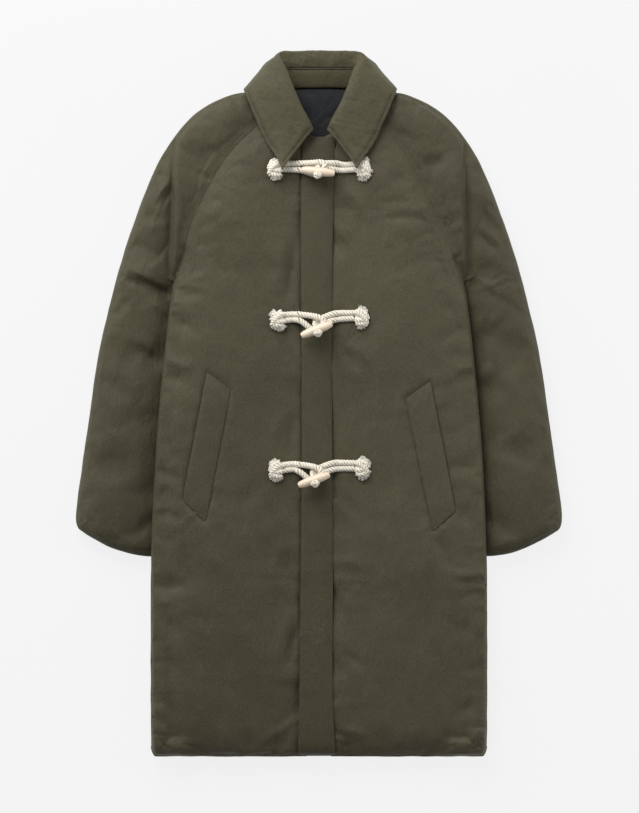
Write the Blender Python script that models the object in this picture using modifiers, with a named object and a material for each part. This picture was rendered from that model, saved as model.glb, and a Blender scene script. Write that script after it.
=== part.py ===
"""Long down coat with a fold-down collar, raglan sleeves and rope-and-toggle fastenings.

The coat lies flat on its back, fastened. X runs to the viewer's right, Y towards the
collar and Z up from the surface that it lies on. The origin is the middle of its base.
Sizes are in metres. Tables hold one half of the coat, with X counted outwards.
"""

import math
from collections import namedtuple

import bpy
from mathutils import Matrix, Vector
from mathutils.bvhtree import BVHTree

# Clearances
LAYER_GAP = 0.0003
SEAM_HALF_GAP = 0.00025
CENTRE_HALF_GAP = 0.00015
RESTING_GAP = 0.0004

# Padded walls
BACK_THICKNESS = 0.020
BACK_NECK_TOP = 0.0232
SIDE_EDGE_THICKNESS = 0.0025
SIDE_ROUNDING = 0.030
BACK_EDGE_BLEND = 0.060
ARMPIT_BLEND = 0.040
FRONT_ROUNDING = 0.050
SHELF_X = 0.034
HEM_Y = -0.564
HEM_BACK_TOP = 0.0165
HEM_BACK_UNDER = 0.004
HEM_ROUNDING = 0.022

# The sleeve's two layers, and what lies under the body
SLEEVE_LAYER_Z = 0.0172
SLEEVE_EDGE_TOP = 0.0195
SLEEVE_EDGE_UNDER = 0.0145
SLEEVE_ROUNDING = 0.030
SLEEVE_UNDER_ROUNDING = 0.026
TUCK_LIFT = 0.0153
TUCK_SPAN = 0.030
COLLAR_LIFT = 0.0103

# Smaller pieces
LINING_THICKNESS = 0.0015
PLACKET_TOP_Y = 0.429
COLLAR_SHIFT = 0.002
COLLAR_THICKNESS = 0.0085
STAND_THICKNESS = 0.004
STAND_STOP = 0.0023
ROPE_RADIUS = 0.0037
TOGGLE_LENGTH = 0.053
TOGGLE_RADIUS = 0.007
TOGGLE_HEIGHT = 0.0228
TOGGLE_ROLL = math.radians(40)
HOLE_RADIUS = 0.0033
STEM_RADIUS = 0.0029
STEM_LENGTH = 0.0173
FRONT_KNOT = (0.0065, 0.0050, 0.0040)
FRONT_KNOT_REACH = 0.0114

SideRow = namedtuple("SideRow", "y half_width seam_z front_z")
SIDE = [
    SideRow(-0.564, 0.2630, 0.0175, 0.0215),
    SideRow(-0.554, 0.2680, 0.0190, 0.0240),
    SideRow(-0.506, 0.2685, 0.0240, 0.0290),
    SideRow(-0.381, 0.2685, 0.0275, 0.0315),
    SideRow(-0.285, 0.2680, 0.0300, 0.0335),
    SideRow(-0.255, 0.2675, 0.0325, 0.0355),
    SideRow(-0.151, 0.2645, 0.0330, 0.0360),
    SideRow(-0.066, 0.2595, 0.0330, 0.0360),
    SideRow(0.006, 0.2535, 0.0330, 0.0360),
    SideRow(0.110, 0.2430, 0.0330, 0.0360),
    SideRow(0.159, 0.2375, 0.0300, 0.0330),
    SideRow(0.178, 0.2347, 0.0275, 0.0305),
    SideRow(0.193, 0.2320, 0.0250, 0.0280),
]
BODY_ROW_YS = [
    -0.564, -0.5615, -0.554, -0.541, -0.520, -0.490, -0.450, -0.405, -0.360, -0.320, -0.285, -0.255,
    -0.215, -0.175, -0.135, -0.095, -0.050, -0.005, 0.040, 0.080, 0.120, 0.150, 0.178,
]

# One row for each section across the raglan seam, from the armpit to the neck. Both the
# body and the sleeve take their seam points from it.
RaglanRow = namedtuple(
    "RaglanRow", "y seam_left seam_right crease outline_x outline_y seam_z ridge_z groove_z crown_z"
)
RAGLAN = [
    RaglanRow(0.1930, 0.2325, 0.2310, 0.2375, 0.3210, 0.2120, 0.0220, 0.0245, 0.0240, 0.0385),
    RaglanRow(0.2075, 0.2250, 0.2255, 0.2345, 0.3160, 0.2290, 0.0290, 0.0340, 0.0260, 0.0385),
    RaglanRow(0.2310, 0.2170, 0.2167, 0.2335, 0.3075, 0.2570, 0.0340, 0.0410, 0.0290, 0.0390),
    RaglanRow(0.2570, 0.2120, 0.2065, 0.2320, 0.2985, 0.2820, 0.0360, 0.0440, 0.0310, 0.0390),
    RaglanRow(0.2890, 0.2040, 0.1925, 0.2310, 0.2880, 0.3110, 0.0380, 0.0460, 0.0320, 0.0390),
    RaglanRow(0.3180, 0.1905, 0.1805, 0.2305, 0.2775, 0.3400, 0.0390, 0.0470, 0.0330, 0.0390),
    RaglanRow(0.3480, 0.1755, 0.1655, 0.2305, 0.2650, 0.3700, 0.0390, 0.0480, 0.0340, 0.0375),
    RaglanRow(0.3770, 0.1590, 0.1505, 0.2305, 0.2480, 0.4040, 0.0390, 0.0470, 0.0370, 0.0360),
    RaglanRow(0.4040, 0.1390, 0.1350, 0.2135, 0.2260, 0.4350, 0.0390, 0.0460, 0.0410, 0.0380),
    RaglanRow(0.4260, 0.1180, 0.1175, 0.1910, 0.2040, 0.4610, 0.0390, 0.0450, 0.0420, 0.0380),
    RaglanRow(0.4460, 0.0960, 0.0990, 0.1655, 0.1780, 0.4790, 0.0390, 0.0440, 0.0410, 0.0370),
    RaglanRow(0.4650, 0.0816, 0.0850, 0.1395, 0.1520, 0.4905, 0.0380, 0.0420, 0.0390, 0.0360),
    RaglanRow(0.4820, 0.0755, 0.0775, 0.1205, 0.1310, 0.4980, 0.0370, 0.0400, 0.0380, 0.0340),
    RaglanRow(0.4920, 0.0745, 0.0755, 0.1050, 0.1140, 0.4975, 0.0360, 0.0370, 0.0360, 0.0320),
    RaglanRow(0.5010, 0.0730, 0.0735, 0.0880, 0.0950, 0.5030, 0.0330, 0.0330, 0.0320, 0.0300),
]
FRONT_NECK_ROW = 12
CENTRE_NECK_Y = 0.430
NECK_BEND_Y = 0.300
BACK_NECK_Y = 0.509

# Sections of the lower sleeve, from below the armpit to the cuff: how far it lies under
# the body's edge, its outline, how far the section bows, and its heights.
SleeveRow = namedtuple(
    "SleeveRow", "y tuck outline_x outline_y bow seam_z ridge_z groove_z crown_z"
)
SLEEVE = [
    SleeveRow(0.178, 0.007, 0.3247, 0.199, 0.000, 0.0185, 0.0215, 0.0240, 0.0385),
    SleeveRow(0.150, 0.021, 0.3310, 0.174, 0.000, 0.0148, 0.0225, 0.0245, 0.0385),
    SleeveRow(0.115, 0.028, 0.3388, 0.143, 0.000, 0.0146, 0.0230, 0.0250, 0.0380),
    SleeveRow(0.065, 0.028, 0.3505, 0.094, 0.000, 0.0146, 0.0235, 0.0250, 0.0380),
    SleeveRow(0.010, 0.028, 0.3598, 0.039, 0.000, 0.0146, 0.0235, 0.0250, 0.0385),
    SleeveRow(-0.045, 0.028, 0.3665, -0.016, -0.001, 0.0146, 0.0235, 0.0250, 0.0390),
    SleeveRow(-0.100, 0.028, 0.3750, -0.070, -0.002, 0.0146, 0.0235, 0.0250, 0.0390),
    SleeveRow(-0.150, 0.028, 0.3817, -0.120, -0.004, 0.0146, 0.0235, 0.0250, 0.0385),
    SleeveRow(-0.195, 0.028, 0.3877, -0.160, -0.009, 0.0146, 0.0235, 0.0250, 0.0375),
    SleeveRow(-0.225, 0.027, 0.3898, -0.183, -0.013, 0.0146, 0.0235, 0.0250, 0.0355),
    SleeveRow(-0.238, 0.027, 0.3885, -0.193, -0.0155, 0.0142, 0.0225, 0.0235, 0.0310),
    SleeveRow(-0.243, 0.027, 0.3850, -0.201, -0.016, 0.0135, 0.0205, 0.0215, 0.0250),
]
INNER_SHARES = [0.0, 0.25, 0.6, 1.0]
OUTER_SHARES = [0.06, 0.17, 0.34, 0.55, 0.75, 0.89, 0.965, 1.0]
CUFF_UNDER = 0.004

CrownRow = namedtuple("CrownRow", "y crown shelf")
CROWN = [
    CrownRow(-0.564, 0.0235, 0.0225),
    CrownRow(-0.5615, 0.0290, 0.0275),
    CrownRow(-0.554, 0.0355, 0.0325),
    CrownRow(-0.541, 0.0405, 0.0355),
    CrownRow(-0.520, 0.0440, 0.0370),
    CrownRow(-0.450, 0.0480, 0.0385),
    CrownRow(-0.200, 0.0520, 0.0395),
    CrownRow(0.200, 0.0525, 0.0395),
    CrownRow(0.330, 0.0510, 0.0395),
    CrownRow(0.400, 0.0475, 0.0385),
    CrownRow(0.430, 0.0420, 0.0370),
]
PANEL_SHARES = [0.0, 0.018, 0.06, 0.13, 0.23, 0.36, 0.52, 0.68, 0.83, 1.0]

# The largest folds, troughs with a depth below 0 and ridges above it.
Fold = namedtuple("Fold", "x y heading length width height")
FOLDS = [
    Fold(-0.262, 0.183, -32, 0.060, 0.018, -0.006),
    Fold(-0.285, 0.205, -28, 0.080, 0.020, 0.003),
    Fold(-0.275, 0.076, -40, 0.050, 0.020, -0.004),
    Fold(0.275, 0.270, -50, 0.060, 0.020, -0.004),
    Fold(0.270, 0.050, 60, 0.060, 0.020, -0.003),
    Fold(-0.070, 0.215, -12, 0.090, 0.030, -0.003),
    Fold(0.075, 0.300, 35, 0.090, 0.030, -0.003),
    Fold(-0.075, -0.030, 10, 0.090, 0.030, -0.003),
    Fold(0.085, -0.150, -20, 0.100, 0.032, -0.003),
    Fold(-0.120, -0.260, 18, 0.140, 0.035, -0.0025),
    Fold(0.130, -0.330, -12, 0.150, 0.035, -0.0025),
    Fold(-0.150, -0.430, -25, 0.130, 0.035, -0.0025),
    Fold(0.090, -0.470, 30, 0.120, 0.035, -0.0025),
    Fold(-0.120, 0.280, -35, 0.150, 0.040, 0.0025),
    Fold(0.120, 0.200, 40, 0.150, 0.040, 0.0025),
]

PlacketRow = namedtuple("PlacketRow", "y free seam")
PLACKET = [
    PlacketRow(-0.564, -0.0333, 0.0262),
    PlacketRow(-0.465, -0.0315, 0.0213),
    PlacketRow(-0.255, -0.0292, 0.0224),
    PlacketRow(-0.087, -0.0272, 0.0215),
    PlacketRow(0.038, -0.0278, 0.0205),
    PlacketRow(0.296, -0.0288, 0.0224),
    PlacketRow(0.369, -0.0280, 0.0240),
    PlacketRow(0.429, -0.0272, 0.0280),
]
PLACKET_SECTION = [(0.0, 0.0048), (0.08, 0.0062), (0.45, 0.0068), (0.85, 0.0056), (1.0, 0.0020)]

Welt = namedtuple("Welt", "name top_mouth top_seam low_seam low_mouth")
WELTS = [
    Welt("welt_left", (-0.179, 0.051), (-0.141, 0.022), (-0.181, -0.190), (-0.218, -0.154)),
    Welt("welt_right", (0.178, 0.036), (0.138, 0.008), (0.182, -0.205), (0.218, -0.171)),
]
WELT_SECTION = [(0.0, 0.0035), (0.12, 0.0050), (0.5, 0.0048), (0.88, 0.0040), (1.0, 0.0022)]
WELT_ROWS = 14

# Sections of the collar from the front edge to the middle of the back: the stand's low
# edge, the seam between stand and fall, the roll line and the fall's outer edge.
CollarRow = namedtuple("CollarRow", "low seam roll over puff edge")
COLLAR = [
    CollarRow(*row)
    for row in (
        (
            (0.013, 0.435, 0.0405), (0.021, 0.4385, 0.0465), (0.012, 0.437, 0.056),
            0.16, 0.0015, (0.059, 0.377, 0.0635),
        ),
        (
            (0.038, 0.449, 0.0395), (0.033, 0.458, 0.0485), (0.024, 0.457, 0.059),
            0.16, 0.002, (0.073, 0.398, 0.0595),
        ),
        (
            (0.059, 0.468, 0.0385), (0.044, 0.479, 0.05), (0.034, 0.476, 0.061),
            0.16, 0.0025, (0.087, 0.419, 0.055),
        ),
        (
            (0.069, 0.486, 0.037), (0.053, 0.5, 0.05), (0.043, 0.497, 0.061),
            0.16, 0.0025, (0.099, 0.446, 0.0525),
        ),
        (
            (0.066, 0.496, 0.034), (0.06, 0.519, 0.0475), (0.052, 0.52, 0.059),
            0.16, 0.0025, (0.11, 0.472, 0.0495),
        ),
        (
            (0.059, 0.502, 0.031), (0.062, 0.531, 0.044), (0.059, 0.539, 0.0545),
            0.16, 0.002, (0.118, 0.49, 0.0462),
        ),
        (
            (0.05, 0.5045, 0.0295), (0.056, 0.5345, 0.041), (0.061, 0.551, 0.049),
            0.16, 0.001, (0.1215, 0.501, 0.037),
        ),
        (
            (0.04, 0.5055, 0.0288), (0.046, 0.5355, 0.0395), (0.058, 0.557, 0.044),
            0.1, -0.009, (0.119, 0.504, 0.015),
        ),
        (
            (0.028, 0.5058, 0.0285), (0.033, 0.536, 0.039), (0.044, 0.5582, 0.0415),
            0.06, -0.018, (0.092, 0.497, 0.0048),
        ),
        (
            (0.014, 0.506, 0.0285), (0.017, 0.536, 0.0385), (0.022, 0.5587, 0.0405),
            0.05, -0.021, (0.045, 0.495, 0.0046),
        ),
        ((0.0, 0.506, 0.0285), (0.0, 0.536, 0.0385), (0.0, 0.5587, 0.04), 0.05, -0.021, (0.0, 0.495, 0.0046)),
    )
]

# Each fastening: the toggle's middle and heading, and the middles of its outer knots.
Fastening = namedtuple("Fastening", "name toggle heading left_knot right_knot level")
FASTENINGS = [
    Fastening("top", (-0.0015, 0.3720), -10.0, (-0.0700, 0.3755), (0.0700, 0.3750), True),
    Fastening("middle", (-0.0038, 0.1178), 21.5, (-0.0660, 0.1340), (0.0670, 0.1370), False),
    Fastening("low", (-0.0080, -0.1215), 19.5, (-0.0680, -0.1060), (0.0680, -0.1030), False),
]
KNOT_SIZE = (0.0130, 0.0172, 0.0064)
# Rope routes about the toggle's middle. The outer knots lie level with the toggle on the
# top fastening and above it on the others. Lift is the height over the cloth.
RoutePoint = namedtuple("RoutePoint", "x y y_level lift")
LOOP_ROUTE = [
    RoutePoint(-0.0330, 0.0262, 0.0135, 0.0),
    RoutePoint(-0.0218, 0.0260, 0.0150, 0.0),
    RoutePoint(-0.0063, 0.0240, 0.0195, 0.002),
    RoutePoint(0.0028, 0.0212, 0.0195, 0.0072),
    RoutePoint(0.0100, 0.0158, 0.0145, 0.0088),
    RoutePoint(0.0105, 0.0088, 0.0080, 0.0088),
    RoutePoint(0.0068, 0.0028, -0.0005, 0.0052),
    RoutePoint(-0.0002, 0.0000, -0.0035, 0.0),
    RoutePoint(-0.0088, 0.0016, -0.0025, 0.0),
    RoutePoint(-0.0203, 0.0108, 0.0012, 0.0),
    RoutePoint(-0.0320, 0.0165, 0.0038, 0.0),
]
CORD_ROUTE = [
    RoutePoint(0.0438, 0.0272, 0.0120, 0.0),
    RoutePoint(0.0318, 0.0268, 0.0138, 0.0),
    RoutePoint(0.0210, 0.0238, 0.0145, 0.0),
    RoutePoint(0.0108, 0.0198, 0.0143, 0.0),
    RoutePoint(0.0018, 0.0162, 0.0138, 0.0),
    RoutePoint(-0.0030, 0.0121, 0.0098, 0.0),
    RoutePoint(0.0018, 0.0080, 0.0058, 0.0),
    RoutePoint(0.0112, 0.0108, 0.0060, 0.0),
    RoutePoint(0.0242, 0.0148, 0.0048, 0.0),
    RoutePoint(0.0373, 0.0175, 0.0032, 0.0),
]

SHELL = (0.075, 0.068, 0.042)
COLLAR_SHELL = (0.105, 0.098, 0.062)
LINING = (0.016, 0.019, 0.021)
ROPE = (0.72, 0.67, 0.56)
WOOD = (0.76, 0.64, 0.46)


def clear_scene():
    for obj in list(bpy.data.objects):
        bpy.data.objects.remove(obj, do_unlink=True)


def new_collection(name):
    collection = bpy.data.collections.new(name)
    bpy.context.scene.collection.children.link(collection)
    return collection


def new_material(name, colour, roughness):
    material = bpy.data.materials.new(name)
    material.use_nodes = True
    surface = material.node_tree.nodes["Principled BSDF"]
    surface.inputs["Base Color"].default_value = (*colour, 1.0)
    surface.inputs["Roughness"].default_value = roughness
    surface.inputs["Metallic"].default_value = 0.0
    return material


def blend(first, second, share):
    return first + (second - first) * share


def smooth(share):
    share = min(max(share, 0.0), 1.0)
    return share * share * (3.0 - 2.0 * share)


def padded_edge(distance, width):
    """0 at a seam and 1 from width inwards, round between them."""
    reach = min(max(distance / width, 0.0), 1.0)
    return math.sqrt(1.0 - (1.0 - reach) ** 2)


def read(table, y, column):
    """A table's column at y, with the table's rows in the order of y."""
    if y <= table[0].y:
        return getattr(table[0], column)
    for low, high in zip(table, table[1:]):
        if y <= high.y:
            share = (y - low.y) / (high.y - low.y)
            return blend(getattr(low, column), getattr(high, column), share)
    return getattr(table[-1], column)


def spline(points, steps):
    """Points along a smooth curve through the given ones, with steps to each span."""
    ends = [points[0] * 2 - points[1]] + points + [points[-1] * 2 - points[-2]]
    found = []
    for index in range(len(points) - 1):
        a, b, c, d = ends[index : index + 4]
        for step in range(steps):
            t = step / steps
            square = (a * 2 - b * 5 + c * 4 - d) * t**2
            cube = (b * 3 - a - c * 3 + d) * t**3
            found.append((b * 2 + (c - a) * t + square + cube) / 2)
    return found + [points[-1]]


def fold_height(x, y):
    """What the largest folds add to a panel's height."""
    height = 0.0
    for fold in FOLDS:
        turn = math.radians(fold.heading)
        along = (x - fold.x) * math.cos(turn) + (y - fold.y) * math.sin(turn)
        across = (y - fold.y) * math.cos(turn) - (x - fold.x) * math.sin(turn)
        height += fold.height * math.exp(-((along / (fold.length / 2)) ** 2) - (across / fold.width) ** 2)
    return height


def collar_lift(x, y):
    """How far the collar's back, which lies under the coat, lifts it."""
    return COLLAR_LIFT * smooth((y - 0.460) / 0.026) * (1.0 - smooth((x - 0.126) / 0.040))


def tuck_window(y):
    """1 along the stretch where a sleeve lies under the body's edge."""
    return min(max((y + 0.285) / 0.028, 0.0), max((0.222 - y) / 0.026, 0.0), 1.0)


def finish(obj, collection, material):
    for user in list(obj.users_collection):
        user.objects.unlink(obj)
    collection.objects.link(obj)
    obj.data.materials.clear()
    obj.data.materials.append(material)
    if obj.type == "MESH":
        obj.data.shade_smooth()
        obj.data.set_sharp_from_angle(angle=math.radians(50))
    return obj


def padded_slab(name, rows, collection, material):
    """A closed padded wall. Each row lists (x, y, underside z, top z) from edge to edge."""
    columns = len(rows[0])
    half = len(rows) * columns
    flat = [point for row in rows for point in row]
    points = [(x, y, top) for x, y, _, top in flat] + [(x, y, low) for x, y, low, _ in flat]
    faces = []
    for r in range(len(rows) - 1):
        for c in range(columns - 1):
            a, b = r * columns + c, r * columns + c + 1
            d, e = a + columns, b + columns
            # The same diagonal on both halves, so that panels which lie on each other never cross.
            corners = (a, b, e, d) if abs(points[a][0]) >= abs(points[b][0]) else (b, e, d, a)
            for triangle in (corners[:3], (corners[0], corners[2], corners[3])):
                faces += [triangle, tuple(corner + half for corner in reversed(triangle))]
    rim = list(range(columns))
    rim += [r * columns + columns - 1 for r in range(1, len(rows))]
    rim += [half - 1 - c for c in range(1, columns)]
    rim += [r * columns for r in range(len(rows) - 2, 0, -1)]
    for a, b in zip(rim, rim[1:] + rim[:1]):
        faces.append((b, a, a + half, b + half))
    across = Vector(rows[0][-1][:2]) - Vector(rows[0][0][:2])
    along = Vector(rows[-1][0][:2]) - Vector(rows[0][0][:2])
    if across.cross(along) < 0:
        faces = [face[::-1] for face in faces]
    mesh = bpy.data.meshes.new(name)
    mesh.from_pydata(points, [], faces)
    return finish(bpy.data.objects.new(name, mesh), collection, material)


def body_sections(side):
    """Sections across one half of the body, from the hem to the front of the neck."""
    column = "seam_left" if side < 0 else "seam_right"
    sections = [(y, y, read(SIDE, y, "half_width"), False) for y in BODY_ROW_YS]
    for row in RAGLAN[: FRONT_NECK_ROW + 1]:
        centre_y = row.y
        if row.y > NECK_BEND_Y:
            reach = (row.y - NECK_BEND_Y) / (RAGLAN[FRONT_NECK_ROW].y - NECK_BEND_Y)
            centre_y = blend(NECK_BEND_Y, CENTRE_NECK_Y, reach)
        sections.append((centre_y, row.y, getattr(row, column) - SEAM_HALF_GAP, True))
    return sections


def neck_sections(side):
    """The back's sections above the front of the neck, up to its own neck seam."""
    column = "seam_left" if side < 0 else "seam_right"
    first = RAGLAN[FRONT_NECK_ROW]
    sections = []
    for share in (0.25, 0.5, 0.75, 1.0):
        y = blend(first.y, RAGLAN[-1].y, share)
        edge = read(RAGLAN, y, column) - SEAM_HALF_GAP
        sections.append((blend(CENTRE_NECK_Y, BACK_NECK_Y, share), y, edge, True))
    return sections


def section_points(section):
    """(x, y, distance from the edge, share) across a half section, from its edge to the middle."""
    centre_y, edge_y, edge_x, _ = section
    xs = [(blend(edge_x, SHELF_X, share), share) for share in PANEL_SHARES] + [(0.0, 1.0)]
    return [(x, blend(centre_y, edge_y, (x / edge_x) ** 2), edge_x - x, share) for x, share in xs]


def back_top(section, x, y, distance):
    edge_y, on_raglan = section[1], section[3]
    edge = read(SIDE, edge_y, "seam_z")
    if on_raglan:
        near_armpit = max(0.0, 1.0 - (edge_y - SIDE[-1].y) / ARMPIT_BLEND)
        edge = blend(SLEEVE_LAYER_Z, SIDE[-1].seam_z, near_armpit)
    middle = blend(HEM_BACK_TOP, BACK_THICKNESS, smooth((y - HEM_Y) / 0.050))
    middle = blend(middle, BACK_NECK_TOP, smooth((y - 0.450) / 0.040))
    if edge_y > 0.450:
        edge = blend(edge, BACK_NECK_TOP, smooth((edge_y - 0.450) / 0.040))
    return blend(edge, middle, smooth(distance / BACK_EDGE_BLEND))


def back_underside(section, x, y, distance):
    edge_y = section[1]
    tuck = TUCK_LIFT * tuck_window(edge_y) * (1.0 - smooth((distance - TUCK_SPAN) / 0.025))
    lift = max(tuck, collar_lift(x, y))
    if distance < SIDE_ROUNDING and edge_y <= SIDE[-1].y:
        edge = read(SIDE, edge_y, "seam_z") - SIDE_EDGE_THICKNESS
        lift = max(lift, blend(lift, edge, (1.0 - distance / SIDE_ROUNDING) ** 1.6))
    if y < HEM_Y + HEM_ROUNDING:
        lift = max(lift, HEM_BACK_UNDER * (1.0 - (y - HEM_Y) / HEM_ROUNDING) ** 2)
    return lift


def front_top(section, side, x, y, distance, share):
    centre_y, edge_y, _, on_raglan = section
    crown = read(CROWN, centre_y, "crown")
    shelf = read(CROWN, centre_y, "shelf")
    edge = read(SIDE, edge_y, "front_z")
    if on_raglan:
        edge = max(read(RAGLAN, edge_y, "seam_z"), edge if edge_y < 0.2 else 0.0)
        crown = blend(edge, crown, smooth((section[2] - SHELF_X) / 0.090))
    height = blend(min(edge, crown), crown, padded_edge(distance, FRONT_ROUNDING))
    height = blend(height, shelf, smooth((share - 0.42) / 0.58))
    if share < 1.0:
        height += fold_height(side * x, y) * smooth(distance / 0.02) * smooth((y - HEM_Y) / 0.05)
    return height


def build_back(collection, material):
    halves = []
    for side in (-1, 1):
        half = []
        for section in body_sections(side) + neck_sections(side):
            half.append([
                (side * x, y, back_underside(section, x, y, d), back_top(section, x, y, d))
                for x, y, d, _ in section_points(section)
            ])
        halves.append(half)
    rows = [left + right[-2::-1] for left, right in zip(*halves)]
    return padded_slab("back_panel", rows, collection, material)


def build_lining(collection, material):
    rows = []
    bottom = body_sections(-1)[-1]
    for section in [bottom] + neck_sections(-1):
        row = []
        for x, y, d, _ in section_points(section):
            x = min(x, section[2] - 0.001)
            y += 0.0008 if section is bottom else -0.0010
            low = back_top(section, x, y, d) + LAYER_GAP
            row.append((-x, y, low, low + LINING_THICKNESS))
        rows.append(row + [(-x, y, low, top) for x, y, low, top in row[-2::-1]])
    return padded_slab("back_lining", rows, collection, material)


def build_front(name, side, collection, material):
    rows = []
    for section in body_sections(side):
        row = []
        for x, y, d, share in section_points(section):
            low = back_top(section, x, y, d) + LAYER_GAP
            top = front_top(section, side, x, y, d, share)
            row.append((side * max(x, CENTRE_HALF_GAP), y, low, top))
        rows.append(row)
    return padded_slab(name, rows, collection, material)


def sleeve_sections(side):
    """(seam point, crease share, outline point, bow, row, exponent) from the neck to the cuff."""
    column = "seam_left" if side < 0 else "seam_right"
    sections = []
    for row in reversed(RAGLAN):
        seam_x = getattr(row, column) + SEAM_HALF_GAP
        crease = (row.crease - seam_x) / (row.outline_x - seam_x)
        rise = 1.0 if row is RAGLAN[0] else 0.55
        sections.append(((seam_x, row.y), crease, (row.outline_x, row.outline_y), 0.0, row, rise))
    for row in SLEEVE:
        edge_x = read(SIDE, row.y, "half_width")
        seam_x = edge_x - row.tuck
        crease = (edge_x + 0.002 - seam_x) / (row.outline_x - seam_x)
        sections.append(((seam_x, row.y), crease, (row.outline_x, row.outline_y), row.bow, row, 1.8))
    return sections


def sleeve_rows(side):
    """Rows of (x, y, underside, top of the back layer, top of the front layer)."""
    rows = []
    cuff_y = SLEEVE[-1].y
    for seam, crease, outline, bow, row, rise in sleeve_sections(side):
        width = math.dist(seam, outline)
        shares = [(crease * s, s, False) for s in INNER_SHARES]
        shares += [(blend(crease, 1.0, s), s, True) for s in OUTER_SHARES]
        found = []
        for share, zone_share, outer in shares:
            x = blend(seam[0], outline[0], share)
            y = blend(seam[1], outline[1], share) + bow * math.sin(math.pi * share)
            to_outline = width * (1.0 - share)
            if outer:
                top = blend(row.groove_z, row.crown_z, smooth(zone_share / 0.35))
                top += fold_height(side * x, y) * smooth(to_outline / 0.02)
                top = blend(SLEEVE_EDGE_TOP, top, padded_edge(to_outline, SLEEVE_ROUNDING))
            else:
                top = blend(row.seam_z, row.ridge_z, zone_share**rise)
            layer = SLEEVE_LAYER_Z if zone_share > 0.5 and outer else min(SLEEVE_LAYER_Z, 0.47 * top)
            under = SLEEVE_EDGE_UNDER * (1.0 - padded_edge(to_outline, SLEEVE_UNDER_ROUNDING))
            under = max(under, collar_lift(x, y))
            from_cuff = row.y - cuff_y
            if from_cuff < 0.02:
                under = max(under, CUFF_UNDER * (1.0 - from_cuff / 0.02) ** 2)
            if hasattr(row, "tuck") and row.tuck > 0.02 and not outer:
                under = max(under, 0.003 * (1.0 - zone_share) ** 2)
            found.append((side * x, y, under, layer, top))
        rows.append(found)
    return rows


def build_sleeve(side, word, collection, materials):
    rows = sleeve_rows(side)
    lower = [[(x, y, under, layer) for x, y, under, layer, _ in row] for row in rows]
    upper = [[(x, y, layer + LAYER_GAP, top) for x, y, _, layer, top in row] for row in rows]
    padded_slab("sleeve_back_" + word, lower, collection, materials[0])
    return padded_slab("sleeve_front_" + word, upper, collection, materials[1])


def tree_of(obj):
    return BVHTree.FromPolygons([v.co for v in obj.data.vertices], [p.vertices for p in obj.data.polygons])


def height_over(trees, x, y, reach=0.0):
    """The highest cloth under a point, or within reach of it."""
    heights = []
    steps = [(0.0, 0.0)]
    if reach:
        steps += [(reach * math.cos(k * math.pi / 4), reach * math.sin(k * math.pi / 4)) for k in range(8)]
    for step_x, step_y in steps:
        for tree in trees:
            hit = tree.ray_cast(Vector((x + step_x, y + step_y, 1.0)), Vector((0, 0, -1)))[0]
            if hit:
                heights.append(hit.z)
    return max(heights)


def build_placket(trees, collection, material):
    rows = []
    ys = [section[0] for section in body_sections(1) if section[0] < PLACKET_TOP_Y] + [PLACKET_TOP_Y]
    for y in ys:
        free, seam = read(PLACKET, y, "free"), read(PLACKET, y, "seam")
        row = []
        for share, thickness in PLACKET_SECTION:
            x = blend(free, seam, share)
            low = height_over(trees, x, y + 0.0002) + RESTING_GAP
            at_end = min(y - HEM_Y, PLACKET_TOP_Y - y)
            row.append((x, y, low, low + thickness * blend(0.55, 1.0, padded_edge(at_end, 0.010))))
        rows.append(row)
    return padded_slab("placket", rows, collection, material)


def build_welt(welt, trees, collection, material):
    rows = []
    for step in range(WELT_ROWS):
        length_share = step / (WELT_ROWS - 1)
        mouth = Vector(welt.low_mouth).lerp(Vector(welt.top_mouth), length_share)
        seam = Vector(welt.low_seam).lerp(Vector(welt.top_seam), length_share)
        from_end = min(length_share, 1.0 - length_share) * 0.21
        row = []
        for share, thickness in WELT_SECTION:
            spot = mouth.lerp(seam, share)
            low = height_over(trees, spot.x, spot.y) + RESTING_GAP
            row.append((spot.x, spot.y, low, low + thickness * blend(0.5, 1.0, padded_edge(from_end, 0.012))))
        rows.append(row)
    return padded_slab(welt.name, rows, collection, material)


def collar_ring(columns):
    """Rows of points round the whole collar, from its left front edge to its right one."""
    rows = []
    for row in COLLAR:
        seam, roll, edge = Vector(row.seam), Vector(row.roll), Vector(row.edge)
        over = roll.lerp(edge, row.over) + Vector((0, 0, row.puff))
        far = roll.lerp(edge, 0.55) + Vector((0, 0, row.puff))
        if row.puff < -0.005:
            far = Vector((blend(roll.x, edge.x, 0.5), blend(roll.y, edge.y, 0.35), edge.z + 0.0012))
        rows.append({"low": [Vector(row.low), seam], "fall": [seam, roll, over, far, edge]}[columns])
    return rows


def both_sides(rows):
    """The left half's rows, then the right half's, about the collar's own middle."""
    left = [[Vector((COLLAR_SHIFT - p.x, p.y, p.z)) for p in row] for row in rows]
    right = [[Vector((COLLAR_SHIFT + p.x, p.y, p.z)) for p in row] for row in rows]
    return left + right[-2::-1]


def shell_from(name, rows, walls, thickness, collection, material):
    """An open sheet of rows, thickened about its middle. walls gives each point's thickness share."""
    columns = len(rows[0])
    points = [point for row in rows for point in row]
    faces = [
        (r * columns + c, r * columns + c + 1, (r + 1) * columns + c + 1, (r + 1) * columns + c)
        for r in range(len(rows) - 1)
        for c in range(columns - 1)
    ]
    mesh = bpy.data.meshes.new(name)
    mesh.from_pydata(points, [], faces)
    obj = finish(bpy.data.objects.new(name, mesh), collection, material)
    group = obj.vertex_groups.new(name="wall")
    for index, share in enumerate(share for row in walls for share in row):
        group.add([index], share, "REPLACE")
    wall = obj.modifiers.new("wall", "SOLIDIFY")
    wall.thickness = thickness
    wall.offset = 0.0
    wall.vertex_group = group.name
    return obj


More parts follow.
